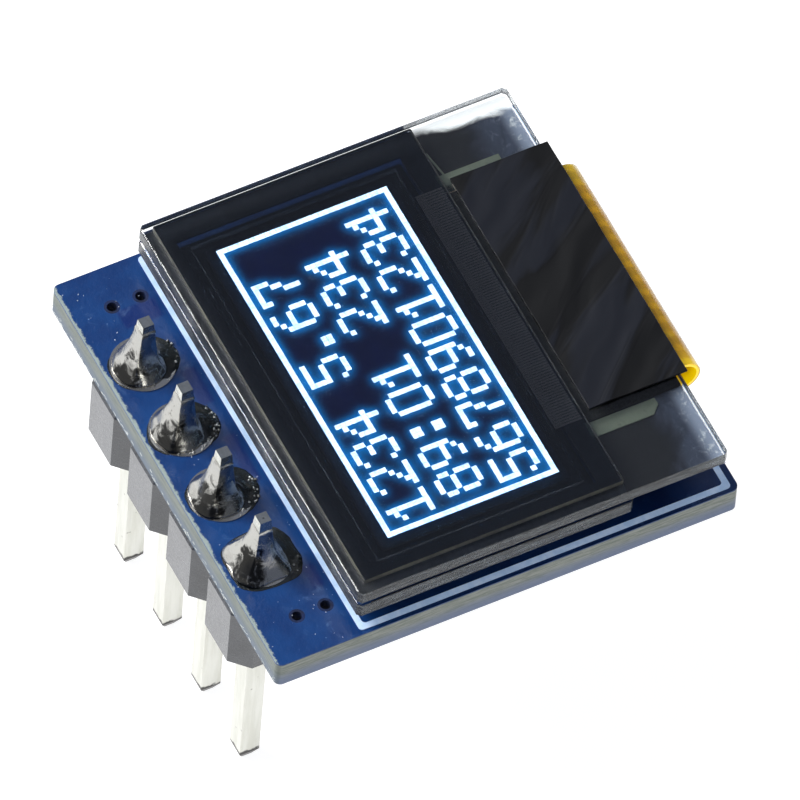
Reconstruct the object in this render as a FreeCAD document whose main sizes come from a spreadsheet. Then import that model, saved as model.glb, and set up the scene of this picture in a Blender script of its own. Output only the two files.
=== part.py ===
import FreeCAD, Part
import math
import os
import Sketcher

# Small display module: a glass display panel on a square blue circuit board,
# with a row of four header pins soldered through the board's upper edge.
# Millimetres. The origin is the middle of the pin row, on the seating plane of
# the header housing. +X is the display's reading direction, +Y points from the
# display to the header, and +Z is the display's outward normal.

DIMENSIONS = [
    # Header and its pins
    ("pin_pitch", 2.54),
    ("pin_width", 0.64),
    ("pin_reach_down", 6.3),
    ("pin_reach_up", 3.2),
    ("pin_tip", 0.35),
    ("pin_tip_width", 0.33),
    ("pin_crown", 1.75),
    ("pin_crown_width", 0.358),
    ("housing_height", 2.5),
    ("housing_depth", 2.5),
    ("housing_notch", 0.55),
    ("housing_edge", 0.07),
    # Circuit board
    ("board_thickness", 1.0),
    ("board_half_width", 7.4),
    ("board_header_edge", 1.2),
    ("board_ledge_edge", 13.85),
    ("board_corner", 0.22),
    ("copper", 0.035),
    ("hole_radius", 0.54),
    ("plating", 0.04),
    ("land_radius", 0.98),
    ("via_radius", 0.24),
    ("via_plating", 0.08),
    ("via_x", 6.02),
    ("via_near_y", 0.1),
    ("via_far_y", 1.03),
    ("ink_half_width", 7.27),
    ("ink_header_edge", 1.53),
    ("ink_ledge_edge", 13.64),
    ("ink_line", 0.19),
    ("ink", 0.03),
    ("ink_corner", 0.12),
    # Solder on the pins
    ("solder_base_1", 1.0),
    ("solder_base_2", 1.0),
    ("solder_base_3", 1.02),
    ("solder_base_4", 1.24),
    ("solder_rise_1", 1.5),
    ("solder_rise_2", 1.42),
    ("solder_rise_3", 1.36),
    ("solder_rise_4", 1.28),
    ("solder_collar", 0.42),
    # Display panel
    ("panel_half_width", 7.2),
    ("panel_header_edge", 1.45),
    ("panel_ledge_edge", 13.48),
    ("glass_bevel", 0.05),
    ("glass_corner", 0.12),
    ("foam", 0.62),
    ("foam_inset", 0.8),
    ("cover_thickness", 0.55),
    ("cover_ledge_edge", 10.45),
    ("recess_depth", 0.2),
    ("recess_half_width", 6.1),
    ("recess_half_height", 3.35),
    ("getter", 0.12),
    ("getter_gap", 0.3),
    ("seal", 0.1),
    ("seal_inset", 0.15),
    ("seal_line", 0.7),
    ("front_thickness", 0.5),
    ("polarizer", 0.18),
    ("polarizer_inset", 0.3),
    ("polarizer_ledge_edge", 10.2),
    ("active_half_width", 5.59),
    ("active_half_height", 2.79),
    ("active_y", 5.98),
    ("emitter", 0.03),
    # Metal tracks under the glass ledge
    ("track", 0.02),
    ("fan_low_x", 4.2),
    ("fan_high_x", 4.9),
    ("fan_start", 9.35),
    ("fan_end", 11.05),
    ("strip_near_inner", 4.37),
    ("strip_near_outer", 4.9),
    ("strip_far_inner", 5.12),
    ("strip_far_outer", 5.3),
    ("strip_start", 10.5),
    ("strip_end", 12.5),
    ("strip_bevel", 0.28),
    # Driver chip, light shield tape and flexible circuit
    ("driver_half_length", 3.5),
    ("driver_width", 0.9),
    ("driver_thickness", 0.3),
    ("driver_y", 11.55),
    ("flex_x", 0.33),
    ("tape_x", 0.365),
    ("tape_half_width", 4.515),
    ("tape_start", 10.47),
    ("tape_end", 13.68),
    ("tape", 0.1),
    ("flex_half_width", 3.93),
    ("flex_film", 0.08),
    ("flex_cover", 0.025),
    ("flex_bend_y", 13.81),
    ("flex_start", 12.6),
    ("flex_tail", 11.0),
    ("track_pitch", 0.54),
    ("track_width", 0.3),
    ("flex_land_start", 10.7),
    ("flex_land_end", 12.7),
    ("flex_land_width", 0.34),
    # Parts on the underside of the board
    ("capacitor_length", 1.6),
    ("capacitor_width", 0.8),
    ("capacitor_height", 0.8),
    ("resistor_length", 1.0),
    ("resistor_width", 0.5),
    ("resistor_height", 0.35),
    ("terminal", 0.3),
    ("terminal_proud", 0.02),
    ("land_overhang", 0.3),
    ("fillet_height", 0.35),
    ("first_row_y", 4.2),
    ("second_row_y", 8.2),
    ("chip_pitch", 1.65),
    ("regulator_x", 4.7),
    ("regulator_half_length", 1.45),
    ("regulator_half_width", 0.65),
    ("regulator_height", 1.0),
    ("regulator_standoff", 0.06),
    ("regulator_draft", 7.0),
    ("lead_width", 0.4),
    ("lead_thickness", 0.12),
    ("lead_reach", 0.55),
    ("lead_foot", 0.3),
    ("lead_pitch", 1.9),
]

PIN_COUNT = 4
FLEX_TRACK_COUNT = 14
VALUES = dict(DIMENSIONS)

doc = FreeCAD.newDocument("display_module")


class Size:
    """A length worked out from the sheet, as an expression and as a number."""

    def __init__(self, text, value):
        self.text = text
        self.value = value

    def __add__(self, other):
        other = size(other)
        return Size(f"({self.text} + {other.text})", self.value + other.value)

    def __sub__(self, other):
        other = size(other)
        return Size(f"({self.text} - {other.text})", self.value - other.value)

    def __mul__(self, factor):
        return Size(f"({self.text} * {factor})", self.value * factor)

    def __neg__(self):
        return Size(f"(0 - {self.text})", -self.value)


def size(item):
    """A Size from a sheet alias, a number or another Size."""
    if isinstance(item, Size):
        return item
    if isinstance(item, str):
        return Size(f"Sheet.{item}", VALUES[item])
    return Size(f"({float(item)})", float(item))


def write_sheet():
    """The spreadsheet with one driving dimension in each row."""
    sheet = doc.addObject("Spreadsheet::Sheet", "Sheet")
    for row, (alias, value) in enumerate(DIMENSIONS, 1):
        sheet.set(f"A{row}", alias)
        sheet.set(f"B{row}", str(value))
        sheet.setAlias(f"B{row}", alias)
    doc.recompute()


def bind(item, prop, value):
    """Bind one property to its expression."""
    item.setExpression(prop, size(value).text)


def new_body(label, x=None, y=None, angle=0.0):
    """A body with its label, moved to x and y and turned about +Z."""
    body = doc.addObject("PartDesign::Body", label)
    body.Label = label
    if angle:
        body.Placement.Rotation = FreeCAD.Rotation(FreeCAD.Vector(0, 0, 1), angle)
    if x is not None:
        bind(body, "Placement.Base.x", x)
    if y is not None:
        bind(body, "Placement.Base.y", y)
    return body


def new_sketch(body, name, role="XY_Plane", height=None):
    """A sketch on one of the body's origin planes, raised by height."""
    sketch = body.newObject("Sketcher::SketchObject", f"{body.Label}_{name}")
    plane = [item for item in body.Origin.OriginFeatures if item.Role == role][0]
    sketch.AttachmentSupport = [(plane, "")]
    sketch.MapMode = "FlatFace"
    if height is not None:
        bind(sketch, "AttachmentOffset.Base.z", height)
    return sketch


def place_point(sketch, side, end, x, y):
    """Hold one end of a side at x and y from the sketch's origin."""
    for direction, value in (("DistanceX", x), ("DistanceY", y)):
        number = sketch.addConstraint(Sketcher.Constraint(direction, -1, 1, side, end, value.value))
        bind(sketch, f"Constraints[{number}]", value)


def outline(sketch, corners, bends=None):
    """Add a closed outline; bends maps a side's number to its arc.

    An arc is (via point, what holds it, size): "Radius" holds its radius, and
    "CentreX" holds its centre's place along the sketch's first axis.
    """
    bends = bends or {}
    corners = [(size(x), size(y)) for x, y in corners]
    points = [FreeCAD.Vector(x.value, y.value, 0) for x, y in corners]
    count = len(corners)
    sides = []
    ends = []
    for index in range(count):
        start, end = points[index], points[(index + 1) % count]
        if index in bends:
            via, hold, value = bends[index]
            arc = Part.Arc(start, FreeCAD.Vector(via[0], via[1], 0), end)
            side = sketch.addGeometry(arc)
            counter_clockwise = sketch.getPoint(side, 1).distanceToPoint(start) < 1e-6
            ends.append((1, 2) if counter_clockwise else (2, 1))
            if hold == "Radius":
                number = sketch.addConstraint(Sketcher.Constraint("Radius", side, size(value).value))
            else:
                number = sketch.addConstraint(Sketcher.Constraint("DistanceX", -1, 1, side, 3, size(value).value))
            bind(sketch, f"Constraints[{number}]", value)
        else:
            side = sketch.addGeometry(Part.LineSegment(start, end))
            ends.append((1, 2))
        sides.append(side)
    for index in range(count):
        before = index - 1
        sketch.addConstraint(
            Sketcher.Constraint("Coincident", sides[before], ends[before][1], sides[index], ends[index][0]))
        place_point(sketch, sides[index], ends[index][0], *corners[index])


def rectangle(sketch, low_x, high_x, low_y, high_y):
    """Add a rectangle between two corners."""
    outline(sketch, [(low_x, low_y), (high_x, low_y), (high_x, high_y), (low_x, high_y)])


def circle(sketch, x, y, radius):
    """Add a circle."""
    x, y, radius = size(x), size(y), size(radius)
    round_edge = Part.Circle(FreeCAD.Vector(x.value, y.value, 0), FreeCAD.Vector(0, 0, 1), radius.value)
    side = sketch.addGeometry(round_edge)
    place_point(sketch, side, 3, x, y)
    number = sketch.addConstraint(Sketcher.Constraint("Radius", side, radius.value))
    bind(sketch, f"Constraints[{number}]", radius)


def pad(body, sketch, length, name="pad", midplane=False, down=False, draft=None):
    """Pad a sketch; a draft leans the sides inwards by that many degrees."""
    feature = body.newObject("PartDesign::Pad", f"{body.Label}_{name}")
    feature.Profile = sketch
    bind(feature, "Length", length)
    feature.Midplane = midplane
    feature.Reversed = down
    if draft is not None:
        bind(feature, "TaperAngle", -size(draft))
    sketch.Visibility = False
    return feature


def pocket(body, sketch, depth, name):
    """Cut a sketch down into the body, and make sure that it cuts."""
    doc.recompute()
    before = body.Shape.Volume
    feature = body.newObject("PartDesign::Pocket", f"{body.Label}_{name}")
    feature.Profile = sketch
    bind(feature, "Length", depth)
    doc.recompute()
    if body.Shape.Volume > before - 1e-6:
        raise RuntimeError(f"{name} cuts nothing from {body.Label}")
    return feature


def revolve(body, sketch, name="turned"):
    """Turn a sketch of the XZ plane once round the body's Z axis."""
    feature = body.newObject("PartDesign::Revolution", f"{body.Label}_{name}")
    feature.Profile = sketch
    feature.ReferenceAxis = (sketch, ["V_Axis"])
    feature.Angle = 360.0
    return feature


def repeat(body, feature, count, step):
    """Repeat a feature along +X, and make the pattern the body's tip."""
    axis = [item for item in body.Origin.OriginFeatures if item.Role == "X_Axis"][0]
    pattern = body.newObject("PartDesign::LinearPattern", f"{body.Label}_row")
    pattern.Originals = [feature]
    pattern.Direction = (axis, [""])
    pattern.Occurrences = count
    bind(pattern, "Length", size(step) * (count - 1))
    body.Tip = pattern
    return pattern


def taper(body, kind, name, lower, upper):
    """Add or cut a square taper on the body's Z axis between two ends, each its height and half its width."""
    feature = body.newObject(f"PartDesign::{kind}", f"{body.Label}_{name}")
    plane = [item for item in body.Origin.OriginFeatures if item.Role == "XZ_Plane"][0]
    feature.AttachmentSupport = [(plane, "")]
    feature.MapMode = "FlatFace"
    for (height, half), level_name, row in ((lower, "Ymin", ""), (upper, "Ymax", "2")):
        bind(feature, level_name, height)
        for axis in ("X", "Z"):
            bind(feature, f"{axis}{row}min", -half)
            bind(feature, f"{axis}{row}max", half)
    return feature


def edges(feature, test):
    """Names of the feature's straight edges whose two ends pass the test."""
    doc.recompute()
    names = []
    for number, edge in enumerate(feature.Shape.Edges, 1):
        if len(edge.Vertexes) == 2 and test(edge.Vertexes[0].Point, edge.Vertexes[1].Point):
            names.append(f"Edge{number}")
    return names


def upright(first, second):
    """Whether an edge stands along +Z."""
    return abs(first.x - second.x) < 1e-6 and abs(first.y - second.y) < 1e-6


def level(first, second):
    """Whether an edge lies level."""
    return abs(first.z - second.z) < 1e-6


def dress(body, feature, kind, amount, test, name):
    """Round or bevel the feature's edges that pass the test."""
    names = edges(feature, test)
    dressed = body.newObject(f"PartDesign::{kind}", f"{body.Label}_{name}")
    dressed.Base = (feature, names)
    bind(dressed, "Radius" if kind == "Fillet" else "Size", amount)
    return dressed


def plate(label, low_x, high_x, low_y, high_y, bottom, thickness, corner=None):
    """A flat rectangular piece, with rounded corners where a corner radius is given."""
    body = new_body(label)
    sketch = new_sketch(body, "outline", height=bottom)
    rectangle(sketch, low_x, high_x, low_y, high_y)
    feature = pad(body, sketch, thickness)
    if corner is not None:
        dress(body, feature, "Fillet", corner, upright, "corners")
    return body


def glass(label, ledge_edge, bottom, thickness):
    """A sheet of glass with its four corners cut off and its rims ground to a fine bevel."""
    half = size("panel_half_width")
    body = plate(label, -half, half, -size(ledge_edge), -size("panel_header_edge"), bottom, thickness)
    corners = dress(body, body.Tip, "Chamfer", "glass_corner", upright, "corners")
    dress(body, corners, "Chamfer", "glass_bevel", level, "bevels")
    return body


def frame(label, outer, line, bottom, thickness, corner=None):
    """A flat rectangular ring; outer holds its low and high x, then y."""
    low_x, high_x, low_y, high_y = [size(item) for item in outer]
    body = new_body(label)
    sketch = new_sketch(body, "outline", height=bottom)
    rectangle(sketch, low_x, high_x, low_y, high_y)
    rectangle(sketch, low_x + line, high_x - line, low_y + line, high_y - line)
    feature = pad(body, sketch, thickness)
    if corner is not None:
        dress(body, feature, "Fillet", corner, upright, "corners")
    return body


# Levels above the seating plane

board_bottom = size("housing_height") + "copper"
board_top = board_bottom + "board_thickness"
land_top = board_top + "copper"
cover_bottom = board_top + "foam"
cover_top = cover_bottom + "cover_thickness"
front_bottom = cover_top + "seal"
front_top = front_bottom + "front_thickness"
crown_top = size("housing_height") + "pin_reach_up"
crown_bottom = crown_top - "pin_crown"


def pin_x(number):
    """Where a pin stands; pin 1 is at the +X end of the row."""
    return size("pin_pitch") * ((PIN_COUNT + 1) / 2 - number)


def circuit_board():
    """The laminate with its plated pin holes and via holes."""
    half = size("board_half_width")
    body = plate("circuit_board", -half, half, -size("board_ledge_edge"), "board_header_edge", board_bottom,
                 "board_thickness", corner="board_corner")
    holes = new_sketch(body, "pin_holes", height=board_top)
    for number in range(1, PIN_COUNT + 1):
        circle(holes, pin_x(number), 0, "hole_radius")
    pocket(body, holes, "board_thickness", "pin_hole_cut")
    vias = new_sketch(body, "via_holes", height=board_top)
    for x, y in via_places():
        circle(vias, x, y, "via_radius")
    pocket(body, vias, "board_thickness", "via_hole_cut")
    return body


def via_places():
    """Centres of the four vias, two at each end of the header row."""
    return [(side, -size(row)) for side in (size("via_x"), -size("via_x")) for row in ("via_near_y", "via_far_y")]


def plated_pin_hole(label, x):
    """A plated barrel with a land on each face of the board."""
    body = new_body(label, x)
    sketch = new_sketch(body, "section", "XZ_Plane")
    wall, land = "hole_radius", "land_radius"
    bore = size(wall) - "plating"
    bottom = board_bottom - "copper"
    outline(sketch, [(bore, bottom), (land, bottom), (land, board_bottom), (wall, board_bottom),
                     (wall, board_top), (land, board_top), (land, land_top), (bore, land_top)])
    revolve(body, sketch)
    return body


def plated_via(label, x, y):
    """The plain plated barrel of a via, with its narrow bore left open by the mask."""
    body = new_body(label, x, y)
    sketch = new_sketch(body, "ring", height=board_bottom)
    circle(sketch, 0, 0, "via_radius")
    circle(sketch, 0, 0, size("via_radius") - "via_plating")
    pad(body, sketch, "board_thickness")
    return body


def solder_joint(number):
    """A concave cone of solder on a pin, with the solder that fills its hole."""
    body = new_body(f"pin_solder_{number}", pin_x(number))
    base = size(f"solder_base_{number}")
    rise = size(f"solder_rise_{number}")
    bore = size("hole_radius") - "plating"
    bottom = board_bottom - "copper"
    crest = land_top + rise
    slope = (base.value - VALUES["solder_collar"], rise.value)
    via = (VALUES["solder_collar"] + 0.30 * slope[0], land_top.value + 0.36 * slope[1])
    sketch = new_sketch(body, "section", "XZ_Plane")
    arc = arc_radius((base.value, land_top.value), via, (VALUES["solder_collar"], crest.value))
    outline(sketch, [(0, bottom), (bore, bottom), (bore, land_top), (base, land_top), ("solder_collar", crest),
                     (0, crest)], bends={3: (via, "Radius", arc)})
    revolve(body, sketch)
    half = size("pin_width") * 0.5
    shank = new_sketch(body, "shank_square", height=crown_bottom)
    rectangle(shank, -half, half, -half, half)
    pocket(body, shank, crown_bottom - bottom, "shank_cut")
    taper(body, "SubtractiveWedge", "crown_cut", (crown_bottom, half), (crown_top, size("pin_crown_width") * 0.5))
    return body


def arc_radius(first, via, last):
    """Radius of the circle through three points."""
    a = math.dist(first, via)
    b = math.dist(via, last)
    c = math.dist(first, last)
    area = abs((via[0] - first[0]) * (last[1] - first[1]) - (via[1] - first[1]) * (last[0] - first[0])) / 2
    return a * b * c / (4 * area)


def header_pin(number):
    """A square post with a short point below and a long narrow crown above."""
    body = new_body(f"header_pin_{number}", pin_x(number))
    half = size("pin_width") * 0.5
    low = -(size("pin_reach_down") - "pin_tip")
    shank = new_sketch(body, "shank", height=low)
    rectangle(shank, -half, half, -half, half)
    pad(body, shank, crown_bottom - low)
    taper(body, "AdditiveWedge", "tip", (-size("pin_reach_down"), size("pin_tip_width") * 0.5), (low, half))
    taper(body, "AdditiveWedge", "crown", (crown_bottom, half), (crown_top, size("pin_crown_width") * 0.5))
    return body


def header_housing():
    """Four eight-sided blocks moulded in a row, each with a square pin hole."""
    body = new_body("header_housing")
    half_x = size("pin_pitch") * 0.5
    half_y = size("housing_depth") * 0.5
    face_x = half_x - "housing_notch"
    face_y = half_y - "housing_notch"
    first = pin_x(PIN_COUNT)
    sketch = new_sketch(body, "block")
    outline(sketch, [(first - face_x, -half_y), (first + face_x, -half_y), (first + half_x, -face_y),
                     (first + half_x, face_y), (first + face_x, half_y), (first - face_x, half_y),
                     (first - half_x, face_y), (first - half_x, -face_y)])
    half = size("pin_width") * 0.5
    rectangle(sketch, first - half, first + half, -half, half)
    block = pad(body, sketch, "housing_height")
    row = repeat(body, block, PIN_COUNT, "pin_pitch")
    limit = half.value + 1e-3

    def rim(first_end, second_end):
        """Whether a level edge is on the outside of the row."""
        outside = max(abs(first_end.y), abs(second_end.y)) > limit
        return level(first_end, second_end) and outside

    dress(body, row, "Chamfer", "housing_edge", rim, "rims")
    return body


def silkscreen_frame():
    """The printed line that marks the panel's place on the board."""
    half = size("ink_half_width")
    outer = (-half, half, -size("ink_ledge_edge"), -size("ink_header_edge"))
    return frame("silkscreen_frame", outer, "ink_line", board_top, "ink", corner="ink_corner")


def foam_pad():
    """The double-sided foam that holds the panel on the board."""
    half = size("panel_half_width") - "foam_inset"
    return plate("foam_pad", -half, half, -(size("cover_ledge_edge") - "foam_inset"),
                 -(size("panel_header_edge") + "foam_inset"), board_top, "foam")


def cover_glass():
    """The rear glass with the shallow recess that holds the getter."""
    body = glass("cover_glass", "cover_ledge_edge", cover_bottom, "cover_thickness")
    recess = new_sketch(body, "recess", height=cover_top)
    low_y, high_y = active_rows("recess_half_height")
    rectangle(recess, -size("recess_half_width"), "recess_half_width", low_y, high_y)
    pocket(body, recess, "recess_depth", "recess_cut")
    return body


def active_rows(half_height):
    """Low and high y of a band centred on the active area."""
    middle = -size("active_y")
    return middle - half_height, middle + half_height


def getter_sheet():
    """The drying sheet stuck in the recess of the rear glass."""
    half = size("recess_half_width") - "getter_gap"
    low_y, high_y = active_rows(size("recess_half_height") - "getter_gap")
    return plate("getter_sheet", -half, half, low_y, high_y, cover_top - "recess_depth", "getter")


def edge_seal():
    """The glue line round the two glasses, notched where the tracks run out."""
    half = size("panel_half_width") - "seal_inset"
    low_y = -(size("cover_ledge_edge") - "seal_inset")
    outer = (-half, half, low_y, -(size("panel_header_edge") + "seal_inset"))
    body = frame("edge_seal", outer, "seal_line", cover_top, "seal")
    band = new_sketch(body, "track_band", height=front_bottom)
    rectangle(band, -size("fan_low_x"), "fan_high_x", low_y, low_y + "seal_line")
    pocket(body, band, "track", "track_cut")
    return body


def emitting_layer():
    """The light-emitting stack under the front glass."""
    half = size("active_half_width")
    low_y, high_y = active_rows("active_half_height")
    return plate("emitting_layer", -half, half, low_y, high_y, front_bottom - "emitter", "emitter")


def ledge_tracks():
    """Metal film under the ledge: the fan to the driver and a strip at each end."""
    body = new_body("ledge_tracks")
    sketch = new_sketch(body, "outline", height=front_bottom - "track")
    rectangle(sketch, -size("fan_low_x"), "fan_high_x", -size("fan_end"), -size("fan_start"))
    inner = -size("strip_near_inner")
    outer = -size("strip_near_outer")
    start = -size("strip_start")
    end = -size("strip_end")
    bevel = size("strip_bevel")
    outline(sketch, [(inner, start), (outer, start), (outer, end + bevel), (outer + bevel, end), (inner, end)])
    rectangle(sketch, "strip_far_inner", "strip_far_outer", end, start)
    pad(body, sketch, "track")
    return body


def front_glass():
    """The front glass, which reaches past the rear one as a ledge."""
    return glass("front_glass", "panel_ledge_edge", front_bottom, "front_thickness")


def polarizer():
    """The dark film on the front glass."""
    half = size("panel_half_width") - "polarizer_inset"
    return plate("polarizer", -half, half, -size("polarizer_ledge_edge"),
                 -(size("panel_header_edge") + "polarizer_inset"), front_top, "polarizer")


def driver_chip():
    """The bare driver chip bonded under the ledge."""
    half = size("driver_half_length")
    half_width = size("driver_width") * 0.5
    middle = -size("driver_y")
    return plate("driver_chip", size("flex_x") - half, size("flex_x") + half, middle - half_width,
                 middle + half_width, front_bottom - "driver_thickness", "driver_thickness")


def black_tape():
    """The light shield stuck on top of the ledge, a little past its edge."""
    half = size("tape_half_width")
    return plate("black_tape", size("tape_x") - half, size("tape_x") + half, -size("tape_end"),
                 -size("tape_start"), front_top, "tape")


def flex_levels():
    """Middle height of the flexible circuit's bend, and its outer radius."""
    return (front_bottom + land_top) * 0.5, (front_bottom - land_top) * 0.5


def bent_strip(sketch, outer, inner, upper_end, lower_end):
    """The section of a strip bent back on itself, between two radii."""
    height = flex_levels()[0]
    bend = -size("flex_bend_y")
    outer, inner = size(outer), size(inner)
    left = bend.value
    outer_arc = ((left - outer.value, height.value), "CentreX", bend)
    inner_arc = ((left - inner.value, height.value), "CentreX", bend)
    if upper_end is None:
        outline(sketch, [(bend, height + outer), (bend, height - outer), (bend, height - inner),
                         (bend, height + inner)], bends={0: outer_arc, 2: inner_arc})
        return
    upper, lower = -size(upper_end), -size(lower_end)
    outline(sketch, [(upper, height + outer), (bend, height + outer), (bend, height - outer),
                     (lower, height - outer), (lower, height - inner), (bend, height - inner),
                     (bend, height + inner), (upper, height + inner)], bends={1: outer_arc, 5: inner_arc})


def flex_film():
    """The film of the flexible circuit, bent from the ledge down to the board."""
    body = new_body("flex_film", "flex_x")
    sketch = new_sketch(body, "section", "YZ_Plane")
    outer = flex_levels()[1] - "track"
    bent_strip(sketch, outer, outer - "flex_film", "flex_start", "flex_tail")
    pad(body, sketch, size("flex_half_width") * 2, midplane=True)
    return body


def flex_cover():
    """The cover layer over the conductors in the bend."""
    body = new_body("flex_cover", "flex_x")
    sketch = new_sketch(body, "section", "YZ_Plane")
    outer = flex_levels()[1]
    bent_strip(sketch, outer + "flex_cover", outer, None, None)
    pad(body, sketch, size("flex_half_width") * 2, midplane=True)
    return body


def first_track_x():
    """Where the row of flexible conductors starts."""
    return size("flex_x") - size("track_pitch") * ((FLEX_TRACK_COUNT - 1) / 2)


def flex_conductors():
    """The copper tracks on the outside of the bent film."""
    body = new_body("flex_conductors", first_track_x())
    sketch = new_sketch(body, "section", "YZ_Plane")
    outer = flex_levels()[1]
    bent_strip(sketch, outer, outer - "track", "flex_start", "flex_tail")
    track = pad(body, sketch, "track_width", midplane=True)
    repeat(body, track, FLEX_TRACK_COUNT, "track_pitch")
    return body


def flex_lands():
    """The row of lands on the board that the flexible circuit is soldered to."""
    body = new_body("flex_lands", first_track_x())
    half = size("flex_land_width") * 0.5
    sketch = new_sketch(body, "outline", height=board_top)
    rectangle(sketch, -half, half, -size("flex_land_end"), -size("flex_land_start"))
    land = pad(body, sketch, "copper")
    repeat(body, land, FLEX_TRACK_COUNT, "track_pitch")
    return body


def flex_solder():
    """Small solder fillets at the tail of the flexible circuit."""
    body = new_body("flex_solder", first_track_x())
    sketch = new_sketch(body, "section", "YZ_Plane")
    tail = -size("flex_tail")
    toe = -size("flex_land_start")
    film_top = land_top + "track" + "flex_film"
    outline(sketch, [(tail, land_top), (toe, land_top), (tail, film_top)])
    fillet = pad(body, sketch, "track_width", midplane=True)
    repeat(body, fillet, FLEX_TRACK_COUNT, "track_pitch")
    return body


def chip(label, kind, x, y, angle):
    """A chip part under the board: a ceramic block with two metal ends."""
    body = new_body(label, x, y, angle)
    half = size(f"{kind}_length") * 0.5
    half_width = size(f"{kind}_width") * 0.5
    height = size(f"{kind}_height")
    proud = size("terminal_proud")
    top = board_bottom - "copper"
    ends = new_sketch(body, "ends", height=top)
    rectangle(ends, -half, -half + "terminal", -half_width, half_width)
    rectangle(ends, half - "terminal", half, -half_width, half_width)
    pad(body, ends, height, "ends_pad", down=True)
    block = new_sketch(body, "block", height=top - proud)
    inner = half_width - proud
    rectangle(block, -half + proud, half - proud, -inner, inner)
    pad(body, block, height - proud * 2, "block_pad", down=True)
    return body


def chip_places():
    """Each chip's label, kind, x and y: two rows under the display."""
    pitch = size("chip_pitch")
    first = -size("first_row_y")
    second = -size("second_row_y")
    places = []
    for index in range(5):
        places.append((f"capacitor_{index + 1}", "capacitor", pitch * (index - 1), first))
    for index in range(2):
        places.append((f"capacitor_{index + 6}", "capacitor", pitch * (index - 3.5), second))
    for index in range(4):
        places.append((f"resistor_{index + 1}", "resistor", pitch * (index - 0.5), second))
    return places


def box(name, low, extents):
    """A box with its low corner and its extents bound to the sheet."""
    item = doc.addObject("Part::Box", name)
    for axis, value in zip("xyz", low):
        bind(item, f"Placement.Base.{axis}", value)
    for prop, value in zip(("Length", "Width", "Height"), extents):
        bind(item, prop, value)
    return item


def fillet_wedge(name, x, y, half_width, reach, height, towards):
    """A wedge of solder whose upright side is at y and whose toe points to towards, +1 or -1."""
    item = doc.addObject("Part::Wedge", name)
    base = board_bottom - "copper"
    toe = size(y) + size(reach) * towards
    low_y, high_y = (size(y), toe) if towards > 0 else (toe, size(y))
    item.Xmin, item.Xmax, item.X2min, item.X2max = 0, 1, 0, 1
    bind(item, "Xmin", size(x) - half_width)
    bind(item, "Xmax", size(x) + half_width)
    bind(item, "X2min", size(x) - half_width)
    bind(item, "X2max", size(x) + half_width)
    bind(item, "Ymin", low_y)
    bind(item, "Ymax", high_y)
    low = base - height
    if towards > 0:
        bind(item, "Zmin", low)
        bind(item, "Z2min", base - 0.03)
    else:
        bind(item, "Zmin", base - 0.03)
        bind(item, "Z2min", low)
    bind(item, "Zmax", base)
    bind(item, "Z2max", base)
    return item


def group(label, items):
    """A compound of separate solids under one label."""
    compound = doc.addObject("Part::Compound", label)
    compound.Label = label
    compound.Links = items
    return compound


def chip_lands_and_solder():
    """The lands under the chips' ends and the solder that climbs each end."""
    lands = []
    fillets = []
    for label, kind, x, y in chip_places():
        half = size(f"{kind}_length") * 0.5
        half_width = size(f"{kind}_width") * 0.5
        length = size("terminal") + "land_overhang"
        for towards in (1, -1):
            end = y + half * towards
            low_y = end - "terminal" if towards > 0 else end - "land_overhang"
            name = f"{label}_{'upper' if towards > 0 else 'lower'}"
            low = (x - half_width, low_y, board_bottom - "copper")
            lands.append(box(f"{name}_land", low, (half_width * 2, length, "copper")))
            rise = min(VALUES["fillet_height"], 0.7 * VALUES[f"{kind}_height"])
            fillets.append(fillet_wedge(f"{name}_solder", x, end, half_width, "land_overhang", rise, towards))
    half_width = size("lead_width") * 0.5
    for number, (x, towards) in enumerate(lead_places(), 1):
        toe = -size("first_row_y") + (size("regulator_half_width") + "lead_reach") * towards
        heel = toe - size("lead_foot") * towards
        low_y = heel if towards > 0 else toe - "land_overhang"
        low = (x - half_width, low_y, board_bottom - "copper")
        extents = (half_width * 2, size("lead_foot") + "land_overhang", "copper")
        lands.append(box(f"lead_{number}_land", low, extents))
        fillets.append(fillet_wedge(f"lead_{number}_solder", x, toe, half_width, "land_overhang",
                                    "lead_thickness", towards))
    return [group("chip_lands", lands), group("chip_solder", fillets)]


def lead_places():
    """Each regulator lead's x and the side of the body that it leaves."""
    middle = -size("regulator_x")
    half_pitch = size("lead_pitch") * 0.5
    return [(middle - half_pitch, 1), (middle + half_pitch, 1), (middle, -1)]


def regulator_body():
    """The moulded body of the voltage regulator, drafted from its parting line."""
    body = new_body("regulator_body", -size("regulator_x"), -size("first_row_y"))
    half = size("regulator_height") * 0.5
    middle = board_bottom - "copper" - "regulator_standoff" - half
    for name, down in (("upper_half", False), ("lower_half", True)):
        sketch = new_sketch(body, name, height=middle)
        rectangle(sketch, -size("regulator_half_length"), "regulator_half_length",
                  -size("regulator_half_width"), "regulator_half_width")
        pad(body, sketch, half, name + "_pad", down=down, draft="regulator_draft")
    return body


def regulator_lead(number, x, towards):
    """A gull-wing lead from the parting line to its land."""
    angle = 0.0 if towards > 0 else 180.0
    body = new_body(f"regulator_lead_{number}", x, -size("first_row_y"), angle)
    thick = size("lead_thickness")
    half = thick * 0.5
    middle = board_bottom - "copper" - "regulator_standoff" - size("regulator_height") * 0.5
    root = size("regulator_half_width")
    toe = root + "lead_reach"
    heel = toe - "lead_foot"
    top = board_bottom - "copper"
    sketch = new_sketch(body, "section", "YZ_Plane")
    outline(sketch, [(root, middle - half), (heel, middle - half), (heel, top - thick), (toe, top - thick),
                     (toe, top), (heel - thick, top), (heel - thick, middle + half), (root, middle + half)])
    pad(body, sketch, "lead_width", midplane=True)
    return body


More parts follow.
